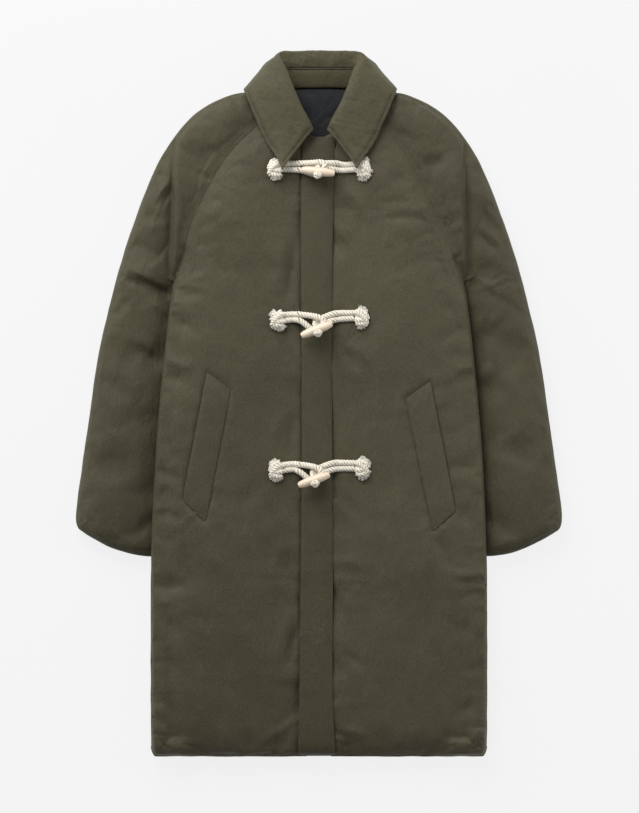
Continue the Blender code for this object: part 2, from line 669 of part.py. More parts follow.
def build_fall(collection, material):
    rows = both_sides(collar_ring("fall"))
    across = [spline(row, 2) for row in rows]
    columns = [spline(list(column), 2) for column in zip(*across)]
    rows = [list(row) for row in zip(*columns)]
    walls = []
    for index in range(len(rows)):
        end = min(index, len(rows) - 1 - index)
        end_share = {0: 0.62, 1: 0.85}.get(end, 1.0)
        walls.append([0.42, 0.75] + [end_share] * (len(rows[0]) - 4) + [0.85 * end_share, 0.50])
    return shell_from("collar_fall", rows, walls, COLLAR_THICKNESS, collection, material)


def build_stand(collection, material):
    rows = both_sides(collar_ring("low"))
    rows = [[low, low.lerp(seam, 0.5), seam - (seam - low).normalized() * STAND_STOP] for low, seam in rows]
    columns = [spline(list(column), 2) for column in zip(*rows)]
    rows = [list(row) for row in zip(*columns)]
    walls = [[0.8, 1.0, 0.5] for _ in rows]
    return shell_from("collar_stand", rows, walls, STAND_THICKNESS, collection, material)


def build_knot(name, centre, size, collection, material):
    bpy.ops.mesh.primitive_uv_sphere_add(segments=12, ring_count=7, radius=1.0, location=centre)
    knot = bpy.context.object
    knot.name = name
    knot.data.transform(Matrix.Diagonal((*size, 1.0)))
    return finish(knot, collection, material)


def build_rope(name, points, collection, material):
    curve = bpy.data.curves.new(name, "CURVE")
    curve.dimensions = "3D"
    curve.bevel_depth = ROPE_RADIUS
    curve.bevel_resolution = 2
    curve.use_fill_caps = True
    line = curve.splines.new("POLY")
    line.points.add(len(points) - 1)
    for point, place in zip(line.points, points):
        point.co = (*place, 1.0)
    return finish(bpy.data.objects.new(name, curve), collection, material)


def rope_points(fastening, route, knot, trees):
    """The route from the knot round the toggle and back, lying on the cloth."""
    side = 1.0 if knot[0] > 0 else -1.0
    flat = [
        Vector((
            fastening.toggle[0] + point.x,
            fastening.toggle[1] + (point.y_level if fastening.level else point.y),
            point.lift,
        ))
        for point in route
    ]
    start = Vector((knot[0] - side * (KNOT_SIZE[0] - 0.0012), knot[1] + 0.0080, 0.0))
    end = Vector((knot[0] - side * (KNOT_SIZE[0] + 0.0003), knot[1] - 0.0008, 0.0))
    found = []
    for spot in spline([start] + flat + [end], 2):
        height = height_over(trees, spot.x, spot.y, ROPE_RADIUS * 1.6) + RESTING_GAP + ROPE_RADIUS
        found.append(Vector((spot.x, spot.y, height + max(spot.z, 0.0))))
    return found


def build_toggle(name, centre, heading, collection, cutters, material):
    """A turned wooden toggle, bored across for its cord."""
    profile = [(0.0, 0.5), (0.42, 0.497), (0.60, 0.478), (0.66, 0.44), (0.80, 0.30), (0.95, 0.14), (1.0, 0.0)]
    outline = [(radius * TOGGLE_RADIUS, share * TOGGLE_LENGTH) for radius, share in profile]
    outline += [(radius, -height) for radius, height in reversed(outline[:-1])]
    mesh = bpy.data.meshes.new(name)
    points = [(radius, 0.0, height) for radius, height in outline]
    mesh.from_pydata(points, [(i, i + 1) for i in range(len(points) - 1)], [])
    toggle = bpy.data.objects.new(name, mesh)
    turn = toggle.modifiers.new("turn", "SCREW")
    turn.steps = 18
    turn.render_steps = 18
    turn.use_merge_vertices = True
    turn.merge_threshold = 0.0001
    placed = Matrix.Translation(centre) @ Matrix.Rotation(math.radians(heading), 4, "Z")
    toggle.matrix_world = placed @ Matrix.Rotation(math.radians(90), 4, "Y")
    bpy.ops.mesh.primitive_cylinder_add(vertices=14, radius=HOLE_RADIUS, depth=TOGGLE_RADIUS * 4)
    cutter = bpy.context.object
    cutter.name = name + "_bore"
    cutter.matrix_world = placed @ Matrix.Rotation(TOGGLE_ROLL, 4, "X")
    cutter.display_type = "WIRE"
    cutter.hide_render = True
    for user in list(cutter.users_collection):
        user.objects.unlink(cutter)
    cutters.objects.link(cutter)
    bore = toggle.modifiers.new("bore", "BOOLEAN")
    bore.operation = "DIFFERENCE"
    bore.object = cutter
    collection.objects.link(toggle)
    mesh.materials.append(material)
    return placed


def build_front_knot(name, placed, collection, cutters, material):
    """The small knot on the toggle's front, with the stem that passes through the bore."""
    rolled = placed @ Matrix.Rotation(TOGGLE_ROLL, 4, "X")
    knot = build_knot(name, (0, 0, 0), FRONT_KNOT, collection, material)
    knot.data.transform(Matrix.Translation((0, 0, FRONT_KNOT_REACH)))
    knot.matrix_world = rolled
    bpy.ops.mesh.primitive_cylinder_add(vertices=10, radius=STEM_RADIUS, depth=STEM_LENGTH + FRONT_KNOT_REACH)
    stem = bpy.context.object
    stem.name = name + "_stem"
    stem.data.transform(Matrix.Translation((0, 0, (FRONT_KNOT_REACH - STEM_LENGTH) / 2)))
    stem.matrix_world = rolled
    stem.display_type = "WIRE"
    stem.hide_render = True
    for user in list(stem.users_collection):
        user.objects.unlink(stem)
    cutters.objects.link(stem)
    join = knot.modifiers.new("stem", "BOOLEAN")
    join.operation = "UNION"
    join.object = stem
    return knot


def build_fastening(fastening, trees, collection, cutters, rope, wood):
    for word, knot, route in (
        ("left", fastening.left_knot, LOOP_ROUTE),
        ("right", fastening.right_knot, CORD_ROUTE),
    ):
        height = height_over(trees, *knot, KNOT_SIZE[0] * 0.3) + RESTING_GAP + KNOT_SIZE[2]
        build_knot(f"knot_{fastening.name}_{word}", (*knot, height), KNOT_SIZE, collection, rope)
        kind = "loop" if word == "left" else "cord"
        points = rope_points(fastening, route, knot, trees)
        build_rope(f"{kind}_{fastening.name}", points, collection, rope)
    height = height_over(trees, *fastening.toggle) + TOGGLE_HEIGHT
    name = f"toggle_{fastening.name}"
    placed = build_toggle(name, (*fastening.toggle, height), fastening.heading, collection, cutters, wood)
    build_front_knot(f"toggle_knot_{fastening.name}", placed, collection, cutters, rope)


def main():
    clear_scene()
    coat = new_collection("long_down_coat")
    cutters = new_collection("cutters")
    shell = [new_material(f"shell_{number}", SHELL, 0.55) for number in range(10)]
    rope = new_material("rope", ROPE, 0.9)
    wood = new_material("wood", WOOD, 0.5)
    build_back(coat, shell[0])
    build_lining(coat, new_material("lining", LINING, 0.45))
    front_left = build_front("front_left", -1, coat, shell[1])
    front_right = build_front("front_right", 1, coat, shell[2])
    build_sleeve(-1, "left", coat, shell[3:5])
    build_sleeve(1, "right", coat, shell[5:7])
    fronts = [tree_of(front_left), tree_of(front_right)]
    placket = build_placket(fronts, coat, shell[7])
    for welt in WELTS:
        build_welt(welt, fronts, coat, shell[8])
    build_stand(coat, shell[9])
    build_fall(coat, new_material("collar", COLLAR_SHELL, 0.55))
    cloth = fronts + [tree_of(placket)]
    for fastening in FASTENINGS:
        build_fastening(fastening, cloth, coat, cutters, rope, wood)


main()
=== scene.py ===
import bpy
import math
import random
import numpy as np
from contextlib import contextmanager
from mathutils import Vector, Matrix, noise
from mathutils.bvhtree import BVHTree
from mathutils.kdtree import KDTree


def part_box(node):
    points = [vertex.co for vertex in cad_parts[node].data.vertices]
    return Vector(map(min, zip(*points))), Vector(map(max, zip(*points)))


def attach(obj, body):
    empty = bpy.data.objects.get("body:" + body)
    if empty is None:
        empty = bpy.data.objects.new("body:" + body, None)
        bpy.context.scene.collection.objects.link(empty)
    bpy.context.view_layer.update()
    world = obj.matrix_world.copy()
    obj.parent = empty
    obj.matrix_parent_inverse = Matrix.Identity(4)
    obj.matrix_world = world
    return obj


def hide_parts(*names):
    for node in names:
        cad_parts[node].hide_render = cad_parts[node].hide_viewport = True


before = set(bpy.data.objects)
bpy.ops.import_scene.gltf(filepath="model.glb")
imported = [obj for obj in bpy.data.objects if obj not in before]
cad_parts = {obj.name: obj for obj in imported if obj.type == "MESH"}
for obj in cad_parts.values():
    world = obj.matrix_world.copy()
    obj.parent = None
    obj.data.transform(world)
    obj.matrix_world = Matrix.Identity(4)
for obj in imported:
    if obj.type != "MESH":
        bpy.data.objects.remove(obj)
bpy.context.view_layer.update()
bpy.ops.object.select_all(action="DESELECT")
scene = bpy.context.scene
dice = random.Random(7)
upward, downward = Vector((0, 0, 1)), Vector((0, 0, -1))

# Camera, floor and light: straight down on the laid-out coat, as in the picture.
studio = {
    "viewHeight": 1.3008,  # metres of floor that the frame takes in from top to bottom
    "sensor": 24.0,
    "distance": 6.0,
    "coatTop": 0.04,
    "middle": (0.0008, -0.0045),
    "floorSize": 14.0,
    "floorDark": (0.07, 0.07, 0.07),
    "floorLight": (0.075, 0.075, 0.075),
    "floorGlow": 0.838,  # the floor's own pale light, which keeps it even under a light that falls off
    "worldStrength": 0.30,
    "lights": [  # name, energy, size and place: the low ones draw the bright rims of the padded edges
        ("key", 95.0, 1.9, (-0.95, 2.22, 1.75)),
        ("fill", 10.0, 2.6, (2.2, 0.6, 2.4)),
        ("sideLeft", 17.0, 1.5, (-2.3, 0.45, 0.66)),
        ("sideRight", 22.0, 1.5, (2.3, 0.45, 0.66)),
    ],
}


def added(name, data):
    item = bpy.data.objects.new(name, data)
    scene.collection.objects.link(item)
    return item


def buildStudio():
    cameraData = bpy.data.cameras.new("camera")
    cameraData.sensor_fit = "VERTICAL"
    cameraData.sensor_height = studio["sensor"]
    cameraData.lens = studio["sensor"] * studio["distance"] / studio["viewHeight"]
    scene.camera = added("camera", cameraData)
    scene.camera.location = (*studio["middle"], studio["distance"] + studio["coatTop"])

    bpy.ops.mesh.primitive_plane_add(size=studio["floorSize"], location=(0, 0, 0))
    floor = bpy.context.object
    floor.name = "floor"
    graph = Graph("floor_finish")
    tone = graph.ramp(graph.noise(3.0, 2), [(0.3, studio["floorDark"]), (0.7, studio["floorLight"])])
    graph.surface({
        "Base Color": tone, "Roughness": 0.9, "Specular IOR Level": 0.05,
        "Emission Color": (1.0, 1.0, 1.0, 1.0), "Emission Strength": studio["floorGlow"],
    })
    floor.data.materials.append(graph.material)

    for name, energy, size, place in studio["lights"]:
        lamp = bpy.data.lights.new(name, "AREA")
        lamp.energy = energy
        lamp.size = size
        light = added(name, lamp)
        light.location = place
        light.rotation_euler = (-Vector(place)).to_track_quat("-Z", "Y").to_euler()
    world = bpy.data.worlds.new("room")
    world.use_nodes = True
    background = world.node_tree.nodes["Background"].inputs
    background["Color"].default_value = (1, 1, 1, 1)
    background["Strength"].default_value = studio["worldStrength"]
    scene.world = world
    scene.view_settings.view_transform = "Standard"


def operator(operation, reflected=False):
    def work(value, other):
        first, second = (other, value) if reflected else (value, other)
        return value.graph.math(operation, first, second)
    return work


class Value:  # one socket, so that sums on it add their own Math nodes
    def __init__(self, graph, socket):
        self.graph, self.socket = graph, socket

    __add__, __radd__ = operator("ADD"), operator("ADD", True)
    __sub__, __rsub__ = operator("SUBTRACT"), operator("SUBTRACT", True)
    __mul__, __rmul__ = operator("MULTIPLY"), operator("MULTIPLY", True)
    __pow__ = operator("POWER")


class Graph:  # one material and its nodes
    def __init__(self, name):
        self.material = bpy.data.materials.new(name)
        self.material.use_nodes = True
        self.tree = self.material.node_tree
        self.tree.nodes.clear()

    def node(self, kind, settings=None, values=None):
        made = self.tree.nodes.new(kind)
        for key, setting in (settings or {}).items():
            if key == "stops":
                ramp = made.color_ramp
                while len(ramp.elements) < len(setting):
                    ramp.elements.new(0.5)
                for element, (position, colour) in zip(ramp.elements, setting):
                    element.position = position
                    element.color = (*colour, 1.0)
            else:
                setattr(made, key, setting)
        for key, value in (values or {}).items():
            socket = made.inputs[key]
            value = getattr(value, "socket", value)
            if isinstance(value, bpy.types.NodeSocket):
                self.tree.links.new(value, socket)
            else:
                socket.default_value = value
        return made

    def math(self, operation, first, second=0.0):
        made = self.node("ShaderNodeMath", {"operation": operation}, {0: first, 1: second})
        return Value(self, made.outputs[0])

    def place(self, stretch=(1, 1, 1), turn=0.0, source="Object"):
        spot = self.node("ShaderNodeTexCoord").outputs[source]
        values = {"Vector": spot, "Rotation": (0, 0, turn), "Scale": stretch}
        return self.node("ShaderNodeMapping", None, values).outputs[0]

    def noise(self, scale, detail=2.0, place=None, roughness=0.5, distortion=0.0):
        values = {"Scale": scale, "Detail": detail, "Roughness": roughness, "Distortion": distortion}
        values["Vector"] = place or self.place()
        return Value(self, self.node("ShaderNodeTexNoise", None, values).outputs[0])

    def bands(self, scale, direction, place=None):
        settings = {"wave_type": "BANDS", "bands_direction": direction}
        values = {"Scale": scale, "Vector": place or self.place()}
        return Value(self, self.node("ShaderNodeTexWave", settings, values).outputs["Fac"])

    def attribute(self, name):
        return Value(self, self.node("ShaderNodeAttribute", {"attribute_name": name}).outputs["Fac"])

    def ramp(self, source, stops):
        return self.node("ShaderNodeValToRGB", {"stops": stops}, {0: source}).outputs["Color"]

    def tones(self, source, *stops):  # a ramp of colours given as they are seen
        return self.ramp(source, [(position, linear(*colour)) for position, colour in stops])

    def blend(self, factor, first, second, kind="MIX"):
        settings = {"data_type": "RGBA", "blend_type": kind}
        return self.node("ShaderNodeMix", settings, {0: factor, 6: first, 7: second}).outputs[2]

    def relief(self, *layers):  # bumps on each other, each a height, its depth in metres and a strength
        under = {}
        for height, depth, strength in layers:
            values = {"Height": height, "Distance": depth, "Strength": strength, **under}
            under = {"Normal": self.node("ShaderNodeBump", None, values).outputs[0]}
        return under["Normal"]

    def surface(self, values):
        shader = self.node("ShaderNodeBsdfPrincipled", None, values)
        self.node("ShaderNodeOutputMaterial", None, {"Surface": shader.outputs[0]})
        return self.material


def linear(red, green, blue):  # 0 to 255 as seen, to the shader's own scale
    return tuple(((c / 255 + 0.055) / 1.055) ** 2.4 if c > 10 else c / 3294.6 for c in (red, green, blue))


shellLook = {
    "body": ((58, 55, 39), (81, 77, 58)),  # the threads' dark and light tone
    # painted shade: the sleeves' threads are a darker copy of the body's, for their darker look; the sleeve
    # backs and the placket take it too
    "sleeve": ((57, 54, 38), (76, 72, 53)),
    "collar": ((61, 58, 41), (83, 79, 58)),
    # painted shade in the collar's topstitch groove: the dark tone it is painted towards, and how much of it
    # at most
    "groove": (30, 28, 18),
    "grooveShade": 0.45,
    "roughness": 0.52,
    "specular": 0.24,
    "sheen": 0.08,
    "sheenRoughness": 0.45,
    "sheenTint": (0.75, 0.75, 0.62, 1.0),
    "threads": 420.0,
}


def shellFinish(name, tones, crinkle=1.0, paintedGrooveShade=False):
    graph = Graph(name)
    broad = graph.noise(5.0, 3)
    cloud = graph.noise(38.0, 4, distortion=0.4)
    slub = graph.noise(1.0, 2, graph.place((260, 1500, 900)))
    slubAcross = graph.noise(1.0, 2, graph.place((1500, 240, 900)))
    grain = graph.noise(560.0, 2)
    tone = broad * 0.30 + cloud * 0.20 + slub * 0.35 + slubAcross * 0.20 + grain * 0.60 - 0.325
    colour = graph.tones(tone, (0.32, tones[0]), (0.68, tones[1]))
    if paintedGrooveShade:  # painted shade: the topstitched groove is darkened where the seam attribute says
        shade = graph.attribute("seam") * shellLook["grooveShade"]
        colour = graph.blend(shade, colour, (*linear(*shellLook["groove"]), 1.0))
    weave = graph.bands(shellLook["threads"], "X") * graph.bands(shellLook["threads"], "Y")
    fold = graph.noise(1.0, 4, graph.place((44, 22, 30), turn=0.5), roughness=0.55, distortion=0.7)
    creased = graph.noise(1.0, 4, graph.place((150, 62, 90), turn=0.45), roughness=0.6, distortion=0.8)
    streak = graph.noise(1.0, 2, graph.place((520, 60, 200), turn=0.30))
    vein = graph.noise(1.0, 2, graph.place((34, 16, 24), turn=0.55), distortion=0.5)
    vein = 1.0 - graph.math("ABSOLUTE", vein * 2.0 - 1.0)  # thin sharp lines, gathered in patches
    patch = graph.math("MAXIMUM", graph.noise(9.0, 2) * 3.0 - 1.2, 0.0)
    crisp = (vein ** 9.0) * graph.math("MINIMUM", patch, 1.0)
    normal = graph.relief(
        (fold, 0.0050, 0.30 * crinkle), (creased, 0.0018, 0.46 * crinkle), (crisp, 0.0014, 0.42 * crinkle),
        (streak, 0.0005, 0.36 * crinkle), (slub + slubAcross + grain, 0.00055, 0.6), (weave, 0.00012, 0.45),
    )
    return graph.surface({
        "Base Color": colour,
        "Roughness": cloud * 0.14 + shellLook["roughness"],
        "Specular IOR Level": shellLook["specular"],
        "Sheen Weight": shellLook["sheen"],
        "Sheen Roughness": shellLook["sheenRoughness"],
        "Sheen Tint": shellLook["sheenTint"],
        "Normal": normal,
    })


def liningFinish():
    graph = Graph("lining_finish")
    cloud = graph.noise(26.0, 4, distortion=0.8)
    twill = graph.bands(300.0, "DIAGONAL")
    return graph.surface({
        "Base Color": graph.tones(cloud, (0.3, (10, 13, 16)), (0.7, (19, 23, 26))),
        "Roughness": cloud * 0.2 + 0.38,
        "Specular IOR Level": 0.38,
        "Normal": graph.relief((cloud, 0.004, 0.5), (twill, 0.0001, 0.4)),
    })


def ropeFinish():
    graph = Graph("rope_finish")
    lines = graph.bands(1.0, "DIAGONAL", graph.place((5.0, 240.0, 1.0), source="UV"))
    fuzz = graph.noise(1400.0, 3)
    cloud = graph.noise(160.0, 3)
    tone = lines * 0.35 + fuzz * 0.3 + cloud * 0.35
    colour = graph.tones(tone, (0.25, (212, 206, 190)), (0.5, (233, 229, 217)), (0.8, (246, 243, 235)))
    # painted shade: darker and browner towards the rope's core, in the crevices between its strands
    hollow = graph.attribute("hollow")
    shade = graph.tones(hollow, (0.03, (255, 255, 255)), (0.13, (216, 199, 172)), (0.27, (134, 110, 84)))
    return graph.surface({
        "Base Color": graph.blend(1.0, colour, shade, "MULTIPLY"),
        "Roughness": fuzz * 0.1 + 0.85,
        "Specular IOR Level": 0.2,
        "Sheen Weight": 0.3,
        "Sheen Roughness": 0.6,
        "Normal": graph.relief((lines, 0.0003, 0.7), (fuzz, 0.0004, 0.6)),
    })


def woodFinish():
    graph = Graph("wood_finish")
    rings = graph.place((14.0, 2.2, 1.0), source="UV")
    grain = graph.noise(3.0, 5, rings, roughness=0.62, distortion=0.5)
    pores = graph.noise(26.0, 2, rings)
    tone = grain * 0.75 + pores * 0.25
    colour = graph.tones(tone, (0.30, (196, 172, 144)), (0.48, (220, 202, 178)), (0.66, (233, 219, 200)))
    return graph.surface({
        "Base Color": colour,
        "Roughness": grain * 0.2 + 0.34,
        "Specular IOR Level": 0.45,
        "Coat Weight": 0.25,
        "Coat Roughness": 0.3,
        "Normal": graph.relief((grain, 0.0003, 0.3)),
    })


# the stitches' colour: partly the thread's own, partly painted shade of the stitched grooves, well darker
# than the cloth
def threadAndShadeFinish():
    graph = Graph("thread_and_shade_finish")
    tone = graph.noise(500.0, 2)
    colour = graph.tones(tone, (0.3, (28, 26, 18)), (0.7, (46, 43, 31)))
    normal = graph.relief((tone, 0.0002, 0.5))
    return graph.surface({"Base Color": colour, "Roughness": 0.6, "Normal": normal})


buildStudio()
shell = shellFinish("shell_finish", shellLook["body"])
# a darker copy of the body's cloth: painted shade on the sleeves, the sleeve backs and the placket
sleeveShadedShell = shellFinish("sleeve_shaded_finish", shellLook["sleeve"], 1.25)
# the collar's cloth, with painted shade in its topstitch groove
collarShell = shellFinish("collar_finish", shellLook["collar"], 0.9, True)
lining = liningFinish()
rope = ropeFinish()
wood = woodFinish()
threadAndShade = threadAndShadeFinish()
print("finishes ready")


def only(piece):
    bpy.ops.object.select_all(action="DESELECT")
    piece.select_set(True)
    bpy.context.view_layer.objects.active = piece


@contextmanager
def editing(piece, action="SELECT"):
    only(piece)
    bpy.ops.object.mode_set(mode="EDIT")
    bpy.ops.mesh.select_all(action=action)
    yield
    bpy.ops.object.mode_set(mode="OBJECT")


def applied(piece, kind, **settings):
    only(piece)
    modifier = piece.modifiers.new(kind.lower(), kind)
    for key, value in settings.items():
        setattr(modifier, key, value)
    bpy.ops.object.modifier_apply(modifier=modifier.name)


def subdivided(piece, levels):
    applied(piece, "SUBSURF", levels=levels, render_levels=levels)


def copyNode(node, name, crease=0.0):  # a CAD node's mesh, merged and back in four-sided faces
    piece = added(name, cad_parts[node].data.copy())
    piece.data.materials.clear()
    with editing(piece):
        bpy.ops.mesh.remove_doubles(threshold=0.00002)
        bpy.ops.mesh.tris_convert_to_quads(face_threshold=1.2, shape_threshold=1.4)
        if crease:  # keeps a flat piece's sewn edge crisp when it is subdivided
            bpy.ops.mesh.select_mode(type="EDGE")
            bpy.ops.mesh.select_all(action="DESELECT")
            bpy.ops.mesh.edges_select_sharp(sharpness=math.radians(48))
            bpy.ops.transform.edge_crease(value=crease)
    return piece


def meshPiece(name, points, faces):
    mesh = bpy.data.meshes.new(name)
    mesh.from_pydata(points, [], faces)
    return added(name, mesh)


def coordinates(piece, field="co"):
    flat = np.empty(len(piece.data.vertices) * 3)
    piece.data.vertices.foreach_get(field, flat)
    return flat.reshape(-1, 3)


def setCoordinates(piece, points):
    piece.data.vertices.foreach_set("co", points.ravel())
    piece.data.update()


def setAttribute(piece, name, values):
    piece.data.attributes.new(name, "FLOAT", "POINT").data.foreach_set("value", values)


def treeOf(*pieces):  # nodes by name, or pieces made here
    points, faces = [], []
    for piece in pieces:
        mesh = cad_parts[piece].data if isinstance(piece, str) else piece.data
        start = len(points)
        points += [v.co.copy() for v in mesh.vertices]
        faces += [[start + i for i in face.vertices] for face in mesh.polygons]
    return BVHTree.FromPolygons(points, faces)


def dropOnto(tree, spot):  # where a line straight down through the spot meets the surface, and its slope
    return tree.ray_cast(spot + upward, downward)[:2]


def finishPiece(piece, material, slotName, *nodes):
    piece.data.materials.clear()
    piece.data.materials.append(material)
    only(piece)
    bpy.ops.object.shade_smooth()
    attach(piece, "root")
    if nodes:
        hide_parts(*nodes)
    return piece


def smoothStep(low, high, value):
    share = np.clip((value - low) / (high - low), 0.0, 1.0)
    return share * share * (3 - 2 * share)


def hump(away, width):
    return np.exp(-((away / width) ** 2))


def ripple(points, scale, seed):  # smooth noise over the coat, from about -1 to 1
    across, along = scale if isinstance(scale, tuple) else (scale, scale)
    return np.array([noise.noise((p[0] * across, p[1] * along, seed)) for p in points])


def ripples(points, layers):  # several of them on each other, each a share, a scale and a seed
    return sum(share * ripple(points, scale, seed) for share, scale, seed in layers)


def outlineOf(piece):
    # points along the line where the upper side of a flat pad turns over to its underside
    isUp = coordinates(piece, "normal")[:, 2] > -0.05
    points = coordinates(piece)
    pairs = [edge.vertices for edge in piece.data.edges]
    turns = [(first, second) for first, second in pairs if isUp[first] != isUp[second]]
    return np.array([(points[first] + points[second]) / 2 for first, second in turns])


def distanceTo(points, targets):
    tree = KDTree(len(targets))
    for index, target in enumerate(targets):
        tree.insert((target[0], target[1], 0.0), index)
    tree.balance()
    found = [tree.find((p[0], p[1], 0.0)) for p in points]
    return np.array([f[2] for f in found]), targets[[f[1] for f in found]]


def inMetres(line):
    return [Vector((x / 1000, y / 1000, 0)) for x, y in line]


def curveThrough(points, step):  # a smooth line through the points, cut into even steps
    points = [Vector(p) for p in points]
    ends = [points[0] * 2 - points[1]] + points + [points[-1] * 2 - points[-2]]
    parts = 12
    dense = []
    for a, b, c, d in zip(ends, ends[1:], ends[2:], ends[3:]):
        for part in range(parts):
            t = part / parts
            bend, twist = 2 * a - 5 * b + 4 * c - d, 3 * b - a - 3 * c + d
            dense.append(0.5 * (2 * b + (c - a) * t + bend * t * t + twist * t ** 3))
    dense.append(points[-1])
    line, left = [dense[0]], step
    for a, b in zip(dense, dense[1:]):
        gap = (b - a).length
        while gap > 0 and left <= gap:
            a = a.lerp(b, left / gap)
            line.append(a)
            gap -= left
            left = step
        left -= gap
    line.append(dense[-1])
    return line


def aheadOn(line, index):
    return line[min(index + 1, len(line) - 1)] - line[max(index - 1, 0)]


def acrossLine(line, index):
    ahead = aheadOn(line, index)
    return Vector((ahead.y, -ahead.x, 0)).normalized()


def aside(line, offset):
    return [spot + acrossLine(line, index) * offset for index, spot in enumerate(line)]


def lineDistance(points, line):
    # distance of each point to a drawn line, how far along it that is (0 to 1), and the side it is on
    best = np.full(len(points), 9.0)
    along = np.zeros(len(points))
    side = np.zeros(len(points))
    legs = [(np.array(a[:2], float), np.array(b[:2], float)) for a, b in zip(line[:-1], line[1:])]
    whole = sum(np.linalg.norm(b - a) for a, b in legs)
    done = 0.0
    for first, last in legs:
        leg = last - first
        length = np.linalg.norm(leg)
        toPoint = points[:, :2] - first
        share = np.clip(toPoint @ leg / length ** 2, 0.0, 1.0)
        away = toPoint - share[:, None] * leg
        distance = np.hypot(away[:, 0], away[:, 1])
        nearer = distance < best
        best = np.where(nearer, distance, best)
        along = np.where(nearer, (done + share * length) / whole, along)
        side = np.where(nearer, np.sign(leg[0] * toPoint[:, 1] - leg[1] * toPoint[:, 0]), side)
        done += length
    return best, along, side


def creaseAlong(points, line, height, left, right, sharpness, trim=0.02, taper=0.7):
    away, along, side = lineDistance(points, line)
    width = np.where(side > 0, left, right)
    ends = np.sin(np.pi * np.clip(along, trim, 1 - trim)) ** taper
    return height * np.exp(-((away / width) ** sharpness)) * ends


def framesAlong(line):
    frames = []
    side = None
    for index, point in enumerate(line):
        ahead = aheadOn(line, index).normalized()
        if side is None:
            side = ahead.cross(upward)
            if side.length < 0.1:
                side = ahead.cross(Vector((1, 0, 0)))
        side = (side - ahead * side.dot(ahead)).normalized()
        frames.append((point, side, ahead.cross(side)))
    return frames


ropeLook = {
    "radius": 0.0045,
    "strands": 3,
    "strandRadius": 0.00240,
    "strandOffset": 0.00258,
    "lay": 0.0144,  # length of one full turn of a strand
    "sides": 8,
    "step": 0.0011,
    "lift": 0.0004,
    "overRise": 1.12,
    "fibre": 0.00009,
    "fibresPerStep": 0.9,
    "fibreRoot": 0.0034,
    "fibreAlong": 0.002,
    "fibreBend": 0.0005,
    "fibreOut": (0.0007, 0.0013),
}


class Tubes:  # many round yarns gathered in one mesh, each with its own UV along and around
    def __init__(self):
        self.points, self.faces, self.uvs, self.hollow = [], [], [], []

    def add(self, line, radii, sides, vStart=0.0, core=None):
        frames = framesAlong(line)
        start = len(self.points)
        rows = [vStart]
        for (before, _, _), (after, _, _) in zip(frames, frames[1:]):
            rows.append(rows[-1] + (after - before).length)
        for index, (point, side, up) in enumerate(frames):
            radius = radii(index / (len(frames) - 1)) if callable(radii) else radii
            for corner in range(sides):
                angle = 2 * math.pi * corner / sides
                place = point + (side * math.cos(angle) + up * math.sin(angle)) * radius
                self.points.append(place)
                inner = 1.0 - min((place - core[index]).length / (2.05 * radius), 1.0) if core else 0.0
                self.hollow.append(inner)  # 0 on the outside of the rope, 1 at its core: the share of painted shade in its colour
        for row in range(len(frames) - 1):
            for corner in range(sides):
                a = start + row * sides + corner
                b = start + row * sides + (corner + 1) % sides
                self.faces.append((a, b, b + sides, a + sides))
                left, right, low, high = corner / sides, (corner + 1) / sides, rows[row], rows[row + 1]
                self.uvs.append([(left, low), (right, low), (right, high), (left, high)])
        for ring, turned in ((start, True), (start + (len(frames) - 1) * sides, False)):
            cap = [ring + corner for corner in range(sides)]
            self.faces.append(tuple(reversed(cap)) if turned else tuple(cap))
            self.uvs.append([(0.5, rows[0])] * sides)

    def strands(self, line, lay=ropeLook["lay"], size=1.0, phase=0.0):
        frames = framesAlong(line)
        travelled = [0.0]
        for a, b in zip(line, line[1:]):
            travelled.append(travelled[-1] + (b - a).length)
        for strand in range(ropeLook["strands"]):
            path = []
            for (point, side, up), gone in zip(frames, travelled):
                angle = phase + 2 * math.pi * (gone / lay + strand / ropeLook["strands"])
                offset = ropeLook["strandOffset"] * size
                path.append(point + (side * math.cos(angle) + up * math.sin(angle)) * offset)
            self.add(path, ropeLook["strandRadius"] * size, ropeLook["sides"], strand * 0.3, core=line)

    def build(self, name):
        piece = meshPiece(name, self.points, self.faces)
        flat = [value for face in self.uvs for corner in face for value in corner]
        piece.data.uv_layers.new(name="yarn").data.foreach_set("uv", flat)
        setAttribute(piece, "hollow", self.hollow)
        with editing(piece):
            bpy.ops.mesh.normals_make_consistent(inside=False)
        return piece
